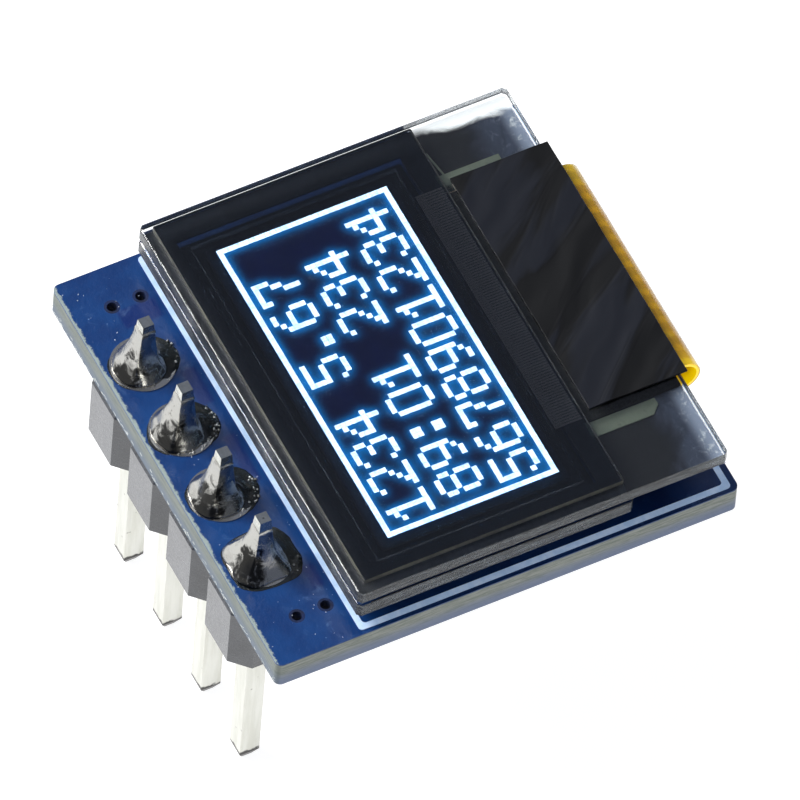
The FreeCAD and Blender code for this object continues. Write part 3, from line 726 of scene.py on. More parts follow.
FINISHES = {
    "mask": SolderMask("solder_mask", linear(20, 62, 116), linear(15, 50, 100), roughness=0.3, coat=0.25),
    # The vias' plating is dark blue: painted shade for the dark holes.
    "via": Finish("via_painted_shade", linear(12, 36, 76), linear(8, 24, 54), 0.85, cloud=4.0),
    # The ink glows a little: painted light that keeps the printed line bright where the panel shades it.
    "ink": Finish("screen_ink", linear(176, 196, 222), linear(156, 182, 212), 0.6, cloud=3.0,
                  grain_depth=0.012, glow=0.4),
    "pin": DrawnMetal("tinned_wire", linear(218, 218, 210), linear(206, 206, 196), 0.34),
    "solder": CastMetal("frozen_solder", linear(184, 180, 172), linear(150, 145, 136), 0.27, grain=16.0),
    "joint": JointMetal("joint_solder", linear(180, 179, 174), linear(140, 138, 132), 0.24, grain=16.0),
    "tinned": CastMetal("tinned_copper", linear(216, 212, 204), linear(176, 170, 160), 0.25,
                        ripple_depth=0.02),
    "copper": CastMetal("plated_copper", linear(226, 148, 96), linear(196, 116, 70), 0.22, ripple_depth=0.01),
    "flux": Finish("flux_resin", linear(38, 42, 44), linear(24, 26, 24), 0.14, grain=4.0,
                   grain_depth=0.05, coat=0.6),
    "bubble": Finish("flux_bubble", linear(190, 192, 190), linear(70, 70, 66), 0.08, metal=0.6,
                     cloud=9.0, coat=1.0),
    "header": Finish("header_moulding", linear(58, 60, 64), linear(44, 46, 50), 0.28, grain=9.0,
                     grain_depth=0.006, coat=0.5),
    "foam": Finish("black_foam", linear(34, 35, 40), linear(18, 19, 23), 0.9, grain=8.0, grain_depth=0.06),
    "glass": ClearGlass("panel_glass", (0.97, 0.985, 0.98), (0.9, 0.93, 0.94), 0.0,
                        tint=(0.7, 0.72, 0.72), smear=0.1),
    "edge": GroundGlass("glass_edge", linear(150, 158, 162), linear(30, 34, 40), 0.22),
    "polarizer": ClearGlass("polarizing_film", linear(142, 149, 158), linear(138, 145, 156), 0.02,
                            tint=linear(146, 150, 160), smear=0.15),
    "film_edge": Finish("film_edge", linear(78, 77, 66), linear(48, 48, 45), 0.45, grain=10.0),
    "seal": Finish("glass_seal", linear(30, 33, 40), linear(20, 22, 28), 0.6, grain=8.0),
    "getter": Finish("drying_sheet", linear(62, 62, 66), linear(50, 50, 54), 0.85, grain=9.0),
    "light": LightLayer("light_layer", (0.0, 0.003, 0.03), linear(10, 11, 20), 0.35),
    "dot": LitDot("lit_dot", (0.46, 0.64, 0.9), (0.58, 0.74, 0.94), 0.5),
    "track": CastMetal("track_film", linear(106, 113, 100), linear(92, 97, 86), 0.5, ripple_depth=0.004),
    "fan": Finish("fan_film", linear(255, 232, 208), linear(244, 220, 196), 0.5, grain=3.0),
    # Painted shade: the black sheet for the dark band under the ledge.
    "shade": Finish("ledge_painted_shade", linear(12, 12, 13), linear(7, 7, 8), 0.9, grain=10.0),
    "silicon": Finish("bare_silicon", linear(52, 54, 62), linear(44, 46, 54), 0.12, grain=4.0,
                      grain_depth=0.001),
    "tape": WrinkledTape("shield_tape", linear(29, 31, 37), linear(11, 12, 14), 0.46),
    "shade_glare": ShadeGlareSheet("ledge_shade_glare", linear(15, 16, 19), linear(68, 74, 91), 0.85),
    "film": AmberFilm("amber_film", linear(250, 206, 20), linear(255, 224, 16), 0.28, coat=0.4,
                      see_through=0.1, painted_end_glow=0.7),
    "cover": AmberFilm("amber_cover", linear(238, 186, 48), linear(250, 214, 60), 0.24, coat=0.5,
                       see_through=0.35),
    "capacitor": ChipFinish("capacitor_body", linear(176, 142, 104), linear(158, 124, 88), 0.5,
                            node="capacitor_1"),
    "resistor": ChipFinish("resistor_body", linear(40, 40, 44), linear(28, 28, 31), 0.45, node="resistor_1"),
    "moulding": Finish("black_moulding", linear(44, 44, 46), linear(34, 34, 36), 0.55, grain=16.0,
                       grain_depth=0.02),
    "dust": Finish("pale_dust", linear(204, 212, 222), linear(150, 166, 190), 0.8, grain=12.0),
    "frayed": Finish("frayed_fibre", linear(226, 228, 222), linear(176, 180, 170), 0.6, grain=12.0),
}
MATERIALS: dict[str, bpy.types.Material] = {}


def material(name: str) -> bpy.types.Material:
    """Give a finish's material, built once.

    Args:
        name: The finish's key in the table.

    Returns:
        The material.
    """
    if name not in MATERIALS:
        MATERIALS[name] = FINISHES[name].material()
    return MATERIALS[name]


def dress_node(node: str, finish: str) -> None:
    """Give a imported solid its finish.

    Args:
        node: The solid's name.
        finish: The finish's key.
    """
    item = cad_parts[node]
    item.data.materials.clear()
    item.data.materials.append(material(finish))
    log.info("dressed %s in %s", node, finish)


# Modelling


def deselect() -> None:
    """Leave nothing selected, in object mode."""
    if bpy.context.object and bpy.context.object.mode != "OBJECT":
        bpy.ops.object.mode_set(mode="OBJECT")
    bpy.ops.object.select_all(action="DESELECT")


class Workpiece:
    """A mesh that is shaped in millimetres."""

    def __init__(self, name: str) -> None:
        """Take over the primitive that was just added.

        Args:
            name: The piece's name.
        """
        self.item = bpy.context.object
        self.item.name = name
        self.item.data.name = name
        bpy.ops.object.transform_apply(location=True, rotation=True, scale=True)

    @classmethod
    def block(cls, name: str, low: Point, high: Point) -> "Workpiece":
        """Start from a box between two corners.

        Args:
            name: The piece's name.
            low: The lowest corner.
            high: The highest corner.

        Returns:
            The box.
        """
        deselect()
        middle = (Vector(low) + Vector(high)) / 2
        bpy.ops.mesh.primitive_cube_add(size=1.0, location=middle)
        bpy.context.object.scale = Vector(high) - Vector(low)
        return cls(name)

    @classmethod
    def drum(cls, name: str, base: Point, radius: float, height: float, sides: int) -> "Workpiece":
        """Start from an upright cylinder that stands on base.

        Args:
            name: The piece's name.
            base: The middle of its lower end.
            radius: Its radius.
            height: Its height.
            sides: How many sides it has.

        Returns:
            The cylinder.
        """
        deselect()
        middle = (base[0], base[1], base[2] + height / 2)
        bpy.ops.mesh.primitive_cylinder_add(vertices=sides, radius=radius, depth=height, location=middle)
        return cls(name)

    @classmethod
    def grid(cls, name: str, low: Point, high: Point, columns: int, rows: int) -> "Workpiece":
        """Start from a level sheet at low's height, cut into columns and rows.

        Args:
            name: The piece's name.
            low: The lowest corner, which gives the height.
            high: The highest corner.
            columns: How many cells lie along X.
            rows: How many cells lie along Y.

        Returns:
            The sheet.
        """
        deselect()
        middle = ((low[0] + high[0]) / 2, (low[1] + high[1]) / 2, low[2])
        bpy.ops.mesh.primitive_grid_add(x_subdivisions=columns, y_subdivisions=rows, size=1.0,
                                        location=middle)
        bpy.context.object.scale = (high[0] - low[0], high[1] - low[1], 1.0)
        return cls(name)

    @classmethod
    def ball(cls, name: str, centre: Point, radius: float) -> "Workpiece":
        """Start from a small round ball.

        Args:
            name: The piece's name.
            centre: Its middle.
            radius: Its radius.

        Returns:
            The ball.
        """
        deselect()
        bpy.ops.mesh.primitive_ico_sphere_add(subdivisions=2, radius=radius, location=centre)
        return cls(name)

    def select(self) -> None:
        """Make this the one selected piece."""
        deselect()
        self.item.select_set(True)
        bpy.context.view_layer.objects.active = self.item

    @contextmanager
    def editing(self, kind: Element = Element.FACE, test: Test = lambda element: True) -> Iterator[None]:
        """Open the piece for an edit.

        Args:
            kind: What the edit works on.
            test: Whether a face or edge is selected.

        Returns:
            Nothing; the edit ends with the block.
        """
        self.select()
        bpy.ops.object.mode_set(mode="EDIT")
        bpy.ops.mesh.select_mode(type=kind.value)
        bpy.ops.mesh.select_all(action="DESELECT")
        mesh = bmesh.from_edit_mesh(self.item.data)
        for element in mesh.faces if kind is Element.FACE else mesh.edges:
            element.select_set(bool(test(element)))
        bmesh.update_edit_mesh(self.item.data)
        yield
        bpy.ops.object.mode_set(mode="OBJECT")

    def modify(self, kind: str, **settings: object) -> "Workpiece":
        """Add a modifier with its settings and apply it.

        Args:
            kind: The modifier's type.
            settings: Its properties.

        Returns:
            The piece.
        """
        self.select()
        modifier = self.item.modifiers.new(kind.lower(), kind)
        for name, value in settings.items():
            setattr(modifier, name, value)
        bpy.ops.object.modifier_apply(modifier=modifier.name)
        return self

    def bevel(self, width: float, segments: int, angle: float = 30.0) -> "Workpiece":
        """Round the piece's edges that are sharper than an angle."""
        return self.modify("BEVEL", width=width, segments=segments, limit_method="ANGLE",
                           angle_limit=math.radians(angle))

    def cut_corners(self, width: float, segments: int) -> "Workpiece":
        """Bevel the piece's upright edges.

        Args:
            width: How wide the bevels are.
            segments: How many faces each one has.

        Returns:
            The piece.
        """
        with self.editing(Element.EDGE, is_upright):
            bpy.ops.mesh.bevel(offset=width, segments=segments, affect="EDGES")
        return self

    def reshape(self, shift: Callable[[Vector], Vector]) -> "Workpiece":
        """Move each point to where shift puts it.

        Args:
            shift: Gives a point's new place.

        Returns:
            The piece.
        """
        for vertex in self.item.data.vertices:
            vertex.co = shift(vertex.co.copy())
        self.item.data.update()
        return self

    def turn(self, angle: float, axis: str, centre: Point) -> "Workpiece":
        """Turn the piece by degrees about a line through centre.

        Args:
            angle: The turn in degrees.
            axis: The direction of the line.
            centre: A point on the line.

        Returns:
            The piece.
        """
        move = Matrix.Translation(centre)
        self.item.data.transform(move @ Matrix.Rotation(math.radians(angle), 4, axis) @ move.inverted())
        return self

    def copy(self, shift: Callable[[Vector], Vector]) -> "Workpiece":
        """Copy the piece with its own mesh, moved point by point.

        Args:
            shift: Gives a point's place in the copy.

        Returns:
            The copy.
        """
        deselect()
        item = self.item.copy()
        item.data = self.item.data.copy()
        bpy.context.scene.collection.objects.link(item)
        twin = Workpiece.__new__(Workpiece)
        twin.item = item
        return twin.reshape(shift)

    def join(self, others: list["Workpiece"]) -> "Workpiece":
        """Join other pieces into this one.

        Args:
            others: The pieces, which are used up.

        Returns:
            The piece.
        """
        self.select()
        for other in others:
            other.item.select_set(True)
        bpy.ops.object.join()
        return self

    def carve(self, cutter: "Workpiece") -> "Workpiece":
        """Cut another piece's shape out of this one.

        Args:
            cutter: The other piece, which is used up.

        Returns:
            The piece.
        """
        self.modify("BOOLEAN", object=cutter.item, operation="DIFFERENCE", solver="EXACT")
        bpy.data.objects.remove(cutter.item)
        return self

    def paint(self, finish: str, test: Test) -> "Workpiece":
        """Give the faces that pass the test a second finish.

        Args:
            finish: The finish's key.
            test: Whether a face takes it.

        Returns:
            The piece.
        """
        if not self.item.data.materials:
            self.item.data.materials.append(None)
        self.item.data.materials.append(material(finish))
        number = len(self.item.data.materials) - 1
        for face in self.item.data.polygons:
            if test(face):
                face.material_index = number
        return self

    def finish(self, finish: str, slot: Slot, *nodes: str, smooth: float = 35.0) -> bpy.types.Object:
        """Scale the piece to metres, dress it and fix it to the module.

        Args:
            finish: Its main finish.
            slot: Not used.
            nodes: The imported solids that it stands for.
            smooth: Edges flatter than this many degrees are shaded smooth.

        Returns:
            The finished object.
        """
        self.select()
        bpy.ops.object.mode_set(mode="EDIT")
        bpy.ops.mesh.select_all(action="SELECT")
        bpy.ops.mesh.normals_make_consistent(inside=False)
        bpy.ops.object.mode_set(mode="OBJECT")
        self.item.scale = (MM, MM, MM)
        bpy.ops.object.transform_apply(location=True, rotation=True, scale=True)
        bpy.ops.object.shade_smooth_by_angle(angle=math.radians(smooth))
        if self.item.data.materials:
            self.item.data.materials[0] = material(finish)
        else:
            self.item.data.materials.append(material(finish))
        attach(self.item, "root")
        if nodes:
            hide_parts(*nodes)
        log.info("made %s with %d faces", self.item.name, len(self.item.data.polygons))
        return self.item


def set_down(place: Point, turn: Matrix, size: float) -> Callable[[Vector], Vector]:
    """Give the shift that sizes and turns a piece at the origin and sets it down at a place."""
    at = Vector(place)
    return lambda point: at + turn @ point * size


def scatter(name: str, first: Workpiece, places: list[Point], rng: random.Random, least: float,
            lean: float = 0.0) -> Workpiece:
    """Copy a small piece at the origin to many places, each sized and turned a little differently.

    Args:
        name: The joined copies' name.
        first: The piece, which is used up.
        places: Where the copies go.
        rng: Draws each copy's size and turn.
        least: The smallest copy's share of the piece's size.
        lean: The usual lean about Y in radians; without it the copies turn freely about Z.

    Returns:
        The joined copies.
    """
    copies = []
    for place in places:
        size = rng.uniform(least, 1.0)
        if lean:
            turn = Matrix.Rotation(rng.gauss(0.0, lean), 3, "Y")
        else:
            turn = Matrix.Rotation(rng.uniform(0.0, math.tau), 3, "Z")
        copies.append(first.copy(set_down(place, turn, size)))
    bpy.data.objects.remove(first.item)
    piece = copies[0].join(copies[1:])
    piece.item.name = name
    return piece


# Sub-assemblies


@dataclass
class CircuitBoard:
    """The board, its printed line, its plated holes, and the dust and frayed fibres on it."""

    speck_count: int = 70
    speck_radius: float = 0.028
    speck_margin: Span = (0.15, 0.08)
    speck_least: float = 0.25
    speck_flatness: Point = (1.0, 0.6, 0.3)
    fibre_count: int = 230
    fibre_length: float = 0.16
    fibre_width: float = 0.03
    fibre_margin: float = 0.1
    fibre_sink: float = 0.01
    fibre_climb: float = 0.09
    fibre_lean: float = 0.35
    fibre_least: float = 0.3
    seed: int = 11

    def build(self) -> None:
        """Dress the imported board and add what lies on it."""
        dress_node("circuit_board", "mask")
        dress_node("silkscreen_frame", "ink")
        for number in range(1, 5):
            dress_node(f"pin_hole_plating_{number}", "tinned")
            dress_node(f"via_plating_{number}", "via")
        self.specks()
        self.fibres()

    def specks(self) -> None:
        """Scatter dust on the open strip of the board."""
        rng = random.Random(self.seed)
        low, high = node_box("circuit_board")
        start = node_box("silkscreen_frame")[1].y
        places = []
        for _ in range(self.speck_count):
            x = rng.uniform(low.x + self.speck_margin[0], high.x - self.speck_margin[0])
            y = rng.uniform(start, high.y - self.speck_margin[1])
            places.append((x, y, high.z))
        first = Workpiece.ball("speck", (0.0, 0.0, 0.0), self.speck_radius)
        first.reshape(lambda point: Vector(along * share for along, share in zip(point, self.speck_flatness)))
        scatter("board_dust", first, places, rng, self.speck_least).finish("dust", Slot.BOARD)

    def fibres(self) -> None:
        """Fray the laminate's sawn edge by the header with short glass fibres along its lower rim."""
        rng = random.Random(self.seed + 1)
        low, high = node_box("circuit_board")
        places = []
        for _ in range(self.fibre_count):
            x = rng.uniform(low.x + self.fibre_margin, high.x - self.fibre_margin)
            z = low.z + abs(rng.gauss(0.0, self.fibre_climb)) + self.fibre_width
            places.append((x, high.y - self.fibre_sink, z))
        corner = Vector((self.fibre_length, self.fibre_width, self.fibre_width)) / 2
        first = Workpiece.block("fibre", -corner, corner)
        first.bevel(self.fibre_width * 0.3, 1)
        piece = scatter("edge_fibres", first, places, rng, self.fibre_least, self.fibre_lean)
        piece.finish("frayed", Slot.BOARD)


@dataclass(frozen=True)
class Joint:
    """One solder joint's own shape, in millimetres and degrees about its pin."""

    number: int
    half_x: float
    half_y: float
    shift_y: float
    rise: float
    corners: float
    lumps: float
    bubbles: Span
    bubble_count: int


@dataclass
class PinHeader:
    """The header: its moulding, pins, solder joints and the flux left round them."""

    joints: tuple[Joint, ...] = (
        Joint(1, 0.84, 0.82, 0.1, 1.96, 2.0, 0.05, (170.0, 330.0), 9),
        Joint(2, 0.84, 0.8, 0.12, 1.9, 2.1, 0.05, (150.0, 300.0), 40),
        Joint(3, 0.86, 0.82, 0.12, 1.88, 2.1, 0.05, (165.0, 290.0), 26),
        Joint(4, 0.94, 0.92, 0.06, 1.84, 3.0, 0.08, (185.0, 260.0), 7),
    )
    steps: tuple[float, ...] = (0.03, 0.07, 0.12, 0.18, 0.25, 0.33, 0.42, 0.52, 0.63, 0.75, 0.88, 1.0)
    collar: float = 0.25
    steep: float = 3.4
    full: float = 1.8
    full_side: float = 80.0
    grip: float = 0.85
    grip_fade: float = 0.7
    lump_pitch: float = 1.9
    lump_climb: float = 2.0
    lump_gain: float = 3.0
    pool_x: float = 0.93
    pool_y: float = 1.1
    pool_shift: float = -0.06
    pool_rim: float = 0.05
    pool_rise: float = 0.5
    pool_side: float = -95.0
    pool_round: float = 0.8
    usual_half: float = 0.85
    uneven: Span = (1.4, 0.06)
    wrinkle: tuple[float, float, float] = (4.5, 0.03, 0.35)
    bubble_radius: float = 0.055
    bubble_least: float = 0.35
    bubble_band: Span = (0.8, 1.0)
    bubble_lift: float = 0.04
    pin_clearance: float = 0.004
    crown: float = 1.75
    crown_width: float = 0.358

    def build(self) -> None:
        """Dress the header and its pins and model each joint."""
        dress_node("header_housing", "header")
        for joint in self.joints:
            dress_node(f"header_pin_{joint.number}", "pin")
            self.solder(joint)
            self.flux(joint)
            self.foam_of_flux(joint)

    def middle(self, joint: Joint) -> Vector:
        """Where a joint's pin passes through the board's top.

        Args:
            joint: The joint.

        Returns:
            The middle of the pin at that height.
        """
        low, high = node_box(f"header_pin_{joint.number}")
        top = node_box("circuit_board")[1].z
        return Vector(((low.x + high.x) / 2, (low.y + high.y) / 2, top))

    def outline(self, joint: Joint, angle: float, half_x: float, half_y: float) -> Span:
        """Give a foot's outline at an angle: between an ellipse and a rounded rectangle.

        Args:
            joint: The joint, whose corners say how square the outline is.
            angle: The angle about the pin, in radians.
            half_x: Half the outline's length along X.
            half_y: Half the outline's length along Y.

        Returns:
            The outline's X and Y, from the pin's middle.
        """
        power = 2.0 / joint.corners
        across, along = math.cos(angle), math.sin(angle)
        return (half_x * math.copysign(abs(across) ** power, across),
                half_y * math.copysign(abs(along) ** power, along))

    def slope(self, high: float, waist: float) -> float:
        """How wide a joint still is at a share of its height."""
        return self.collar + (1.0 - self.collar) * (1.0 - high) ** waist

    def rings(self, name: str, centre: Vector, waist: float) -> Workpiece:
        """Draw a drum up to height one, in rings that narrow to a collar.

        Args:
            name: The piece's name.
            centre: The middle of its foot.
            waist: How soon it narrows.

        Returns:
            The drum.
        """
        piece = Workpiece.drum(name, centre, 1.0, self.steps[0], 64)
        level, radius = self.steps[0], 1.0
        for step in self.steps[1:]:
            narrow = self.slope(step, waist)
            with piece.editing(Element.FACE, is_top):
                bpy.ops.mesh.extrude_region_move(TRANSFORM_OT_translate={"value": (0.0, 0.0, step - level)})
                factor = narrow / radius
                bpy.ops.transform.resize(value=(factor, factor, 1.0), center_override=centre)
            level, radius = step, narrow
        return piece

    def solder(self, joint: Joint) -> None:
        """Shape the solder: full on its outer side, steep on the side of the panel, and drawn up its pin.

        Args:
            joint: The joint.
        """
        centre = self.middle(joint)
        piece = self.rings(f"solder_joint_{joint.number}", centre, self.full)
        offset = Vector((joint.number * 7.3, 1.7, 0.0))

        def wet(point: Vector) -> Vector:
            """Shape a ring to the land at the foot and to the square pin at the collar, with lumps.

            Args:
                point: A point of the drum.

            Returns:
                Its place on the solder.
            """
            away = point - centre
            high = away.z
            angle = math.atan2(away.y, away.x)
            fullness = (1.0 + math.cos(angle - math.radians(self.full_side))) / 2
            waist = self.steep + (self.full - self.steep) * fullness
            reach = math.hypot(away.x, away.y) * self.slope(high, waist) / self.slope(high, self.full)
            foot = Vector((*self.outline(joint, angle, joint.half_x, joint.half_y), 0.0))
            square = 1.0 / max(abs(math.cos(angle)), abs(math.sin(angle)))
            grip = Vector((math.cos(angle), math.sin(angle), 0.0)) * (1.0 + self.grip * (square - 1.0))
            side = foot.lerp(grip, high ** self.grip_fade) * reach
            side.y += joint.shift_y * (1.0 - high) ** 2
            climb = Vector((0.0, 0.0, high * self.lump_climb))
            lump = noise.noise((centre + side + offset) * self.lump_pitch + climb)
            belly = math.sin(math.pi * min(high * 0.9 + 0.1, 1.0))
            swell = 1.0 + lump * joint.lumps * self.lump_gain * belly
            side.x *= swell
            side.y *= swell
            return centre + side + Vector((0.0, 0.0, high * joint.rise))

        piece.reshape(wet)
        piece.modify("SUBSURF", levels=1, render_levels=1)
        piece.carve(self.pin_shape(centre))
        piece.finish("joint", Slot.SOLDER, f"pin_solder_{joint.number}", smooth=60.0)

    def pin_shape(self, centre: Vector) -> Workpiece:
        """Model the part of a pin that the solder grips: a square post that narrows to its crown.

        Args:
            centre: The middle of the pin at the board's top.

        Returns:
            The post.
        """
        low, high = node_box("header_pin_1")
        half = (high.x - low.x) / 2 + self.pin_clearance
        post = Workpiece.block("pin_shape", (centre.x - half, centre.y - half, centre.z - 1.0),
                               (centre.x + half, centre.y + half, high.z - self.crown))
        with post.editing(Element.FACE, is_top):
            bpy.ops.mesh.extrude_region_move(TRANSFORM_OT_translate={"value": (0.0, 0.0, self.crown)})
            narrow = self.crown_width / 2 / half
            bpy.ops.transform.resize(value=(narrow, narrow, 1.0), center_override=centre)
        return post

    def flux(self, joint: Joint) -> None:
        """Lay an uneven pool of clear dark resin round the foot, banked up on the side of the panel.

        Args:
            joint: The joint.
        """
        centre = self.middle(joint)
        piece = self.rings(f"flux_ring_{joint.number}", centre, self.full)
        grow = max(joint.half_x, joint.half_y) / self.usual_half

        def spread(point: Vector) -> Vector:
            """Follow the land, and bank the resin against the solder.

            Args:
                point: A point of the drum.

            Returns:
                Its place on the pool.
            """
            away = point - centre
            angle = math.atan2(away.y, away.x)
            reach = math.hypot(away.x, away.y)
            x, y = self.outline(joint, angle, self.pool_x * grow, self.pool_y)
            around = Vector((math.cos(angle), math.sin(angle), joint.number * 3.1))
            uneven = noise.noise(around * self.uneven[0])
            wrinkle = noise.noise(Vector((x * reach, y * reach, joint.number * 2.3)) * self.wrinkle[0])
            banked = max(0.0, math.cos(angle - math.radians(self.pool_side))) ** self.pool_round
            rise = self.pool_rim + self.pool_rise * banked * (1.0 + self.wrinkle[2] * wrinkle)
            wide = 1.0 + self.uneven[1] * uneven + self.wrinkle[1] * wrinkle
            return centre + Vector((x * reach * wide, y * reach * wide + self.pool_shift, away.z * rise))

        piece.reshape(spread)
        piece.finish("flux", Slot.SOLDER, smooth=60.0)

    def foam_of_flux(self, joint: Joint) -> None:
        """Stud the edge of the flux with burst bubbles, along the arc where the joint has them.

        Args:
            joint: The joint.
        """
        rng = random.Random(joint.number * 5)
        centre = self.middle(joint)
        places = []
        for _ in range(joint.bubble_count):
            angle = math.radians(rng.uniform(*joint.bubbles))
            x, y = self.outline(joint, angle, self.pool_x, self.pool_y)
            out = rng.uniform(*self.bubble_band)
            places.append((centre.x + x * out, centre.y + self.pool_shift + y * out,
                           centre.z + self.bubble_lift))
        first = Workpiece.ball("bubble", (0.0, 0.0, 0.0), self.bubble_radius)
        piece = scatter(f"flux_bubbles_{joint.number}", first, places, rng, self.bubble_least)
        piece.finish("bubble", Slot.SOLDER, smooth=80.0)


DIGITS = {
    "0": ".###. #...# #...# #...# #...# #...# #...# .###.",
    "1": "..#.. .##.. #.#.. ..#.. ..#.. ..#.. ..#.. #####",
    "2": ".###. #...# ....# ....# ...#. ..#.. .#... #####",
    "3": ".###. #...# ....# ..##. ....# ....# #...# .###.",
    "4": "...#. ..##. .#.#. #..#. #..#. ##### ...#. ...#.",
    "5": "##### #.... #.... ####. ....# ....# #...# .###.",
    "6": "..##. .#... #.... ####. #...# #...# #...# .###.",
    "7": "##### #...# ....# ...#. ...#. ..#.. ..#.. ..#..",
    "8": ".###. #...# #...# .###. #...# #...# #...# .###.",
    "9": ".###. #...# #...# #...# .#### ....# ...#. .##..",
    ".": "..... ..... ..... ..... ..... ..... .##.. .##..",
    ":": "..... .##.. .##.. ..... ..... .##.. .##.. .....",
    " ": "..... ..... ..... ..... ..... ..... ..... .....",
}


@dataclass
class DotMatrix:
    """The lit picture: a frame one dot wide round three rows of plain numbers.

    Each of the lines is its first column, its top row and its text.
    """

    columns: int = 64
    rows: int = 32
    lines: tuple[tuple[int, int, str], ...] = (
        (2, 2, "1234 5.67"),
        (3, 12, "89:01 234"),
        (2, 22, "5678901234"),
    )
    pitch: int = 6
    gap: float = 0.006
    dot_height: float = 0.008
    plate_gap: float = 0.01
    spread: float = 0.8
    finer: int = 3

    def pattern(self) -> np.ndarray:
        """Work out which dots are lit.

        Returns:
            One for each lit dot and nought for each dark one, the top row first.
        """
        lit = np.zeros((self.rows, self.columns))
        lit[0, :] = lit[-1, :] = 1.0
        lit[:, 0] = lit[:, -1] = 1.0
        for start, top, text in self.lines:
            for place, letter in enumerate(text):
                for down, cells in enumerate(DIGITS[letter].split()):
                    for along, cell in enumerate(cells):
                        if cell == "#":
                            lit[top + down, start + place * self.pitch + along] = 1.0
        return lit

    def blurred(self, lit: np.ndarray) -> np.ndarray:
        """Spread each lit dot's light over the plate's finer grid of points.

        Args:
            lit: Which dots are lit.

        Returns:
            The light at each point as a share of the most.
        """
        weights = []
        for count in (self.rows, self.columns):
            points = np.arange(count * self.finer + 1)[:, None] / self.finer - 0.5
            away = points - np.arange(count)[None, :]
            weights.append(np.exp(-(away / self.spread) ** 2 / 2))
        glow = weights[0] @ lit @ weights[1].T
        return glow / glow.max()

    def build(self) -> None:
        """Model the lit dots and the plate that glows behind them."""
        low, high = node_box("emitting_layer")
        lit = self.pattern()
        step_x = (high.x - low.x) / self.columns
        step_y = (high.y - low.y) / self.rows

        def dark(face: bmesh.types.BMFace) -> bool:
            """Whether a cell of the grid isn't lit."""
            middle = face.calc_center_median()
            return not lit[int((high.y - middle.y) / step_y), int((middle.x - low.x) / step_x)]

        top = high.z - CONTACT_GAP
        piece = Workpiece.grid("lit_dots", (low.x, low.y, top), (high.x, high.y, top),
                               self.columns, self.rows)
        with piece.editing(Element.FACE, dark):
            bpy.ops.mesh.delete(type="FACE")
        with piece.editing():
            bpy.ops.mesh.inset(thickness=self.gap, use_individual=True)
            bpy.ops.mesh.select_all(action="INVERT")
            bpy.ops.mesh.delete(type="FACE")
        piece.modify("SOLIDIFY", thickness=self.dot_height, offset=-1.0)
        piece.finish("dot", Slot.LIGHT)
        self.plate(low, high, top - self.plate_gap, self.blurred(lit))

    def plate(self, low: Vector, high: Vector, top: float, glow: np.ndarray) -> None:
        """Make the plate under the dots, which carries the glow at each of its points.

        Args:
            low: The light layer's lowest corner.
            high: The light layer's highest corner.
            top: The height of the plate's upper face.
            glow: The light at each point, the top row first.
        """
        columns, rows = self.columns * self.finer, self.rows * self.finer
        piece = Workpiece.grid("light_plate", (low.x, low.y, top), (high.x, high.y, top), columns, rows)
        values = []
        for vertex in piece.item.data.vertices:
            down = round((high.y - vertex.co.y) / (high.y - low.y) * rows)
            along = round((vertex.co.x - low.x) / (high.x - low.x) * columns)
            values.append(glow[down, along])
        attribute = piece.item.data.attributes.new("glow", "FLOAT", "POINT")
        attribute.data.foreach_set("value", np.array(values, np.float32))
        piece.modify("SOLIDIFY", thickness=top - low.z, offset=-1.0)
        piece.finish("light", Slot.LIGHT, "emitting_layer")


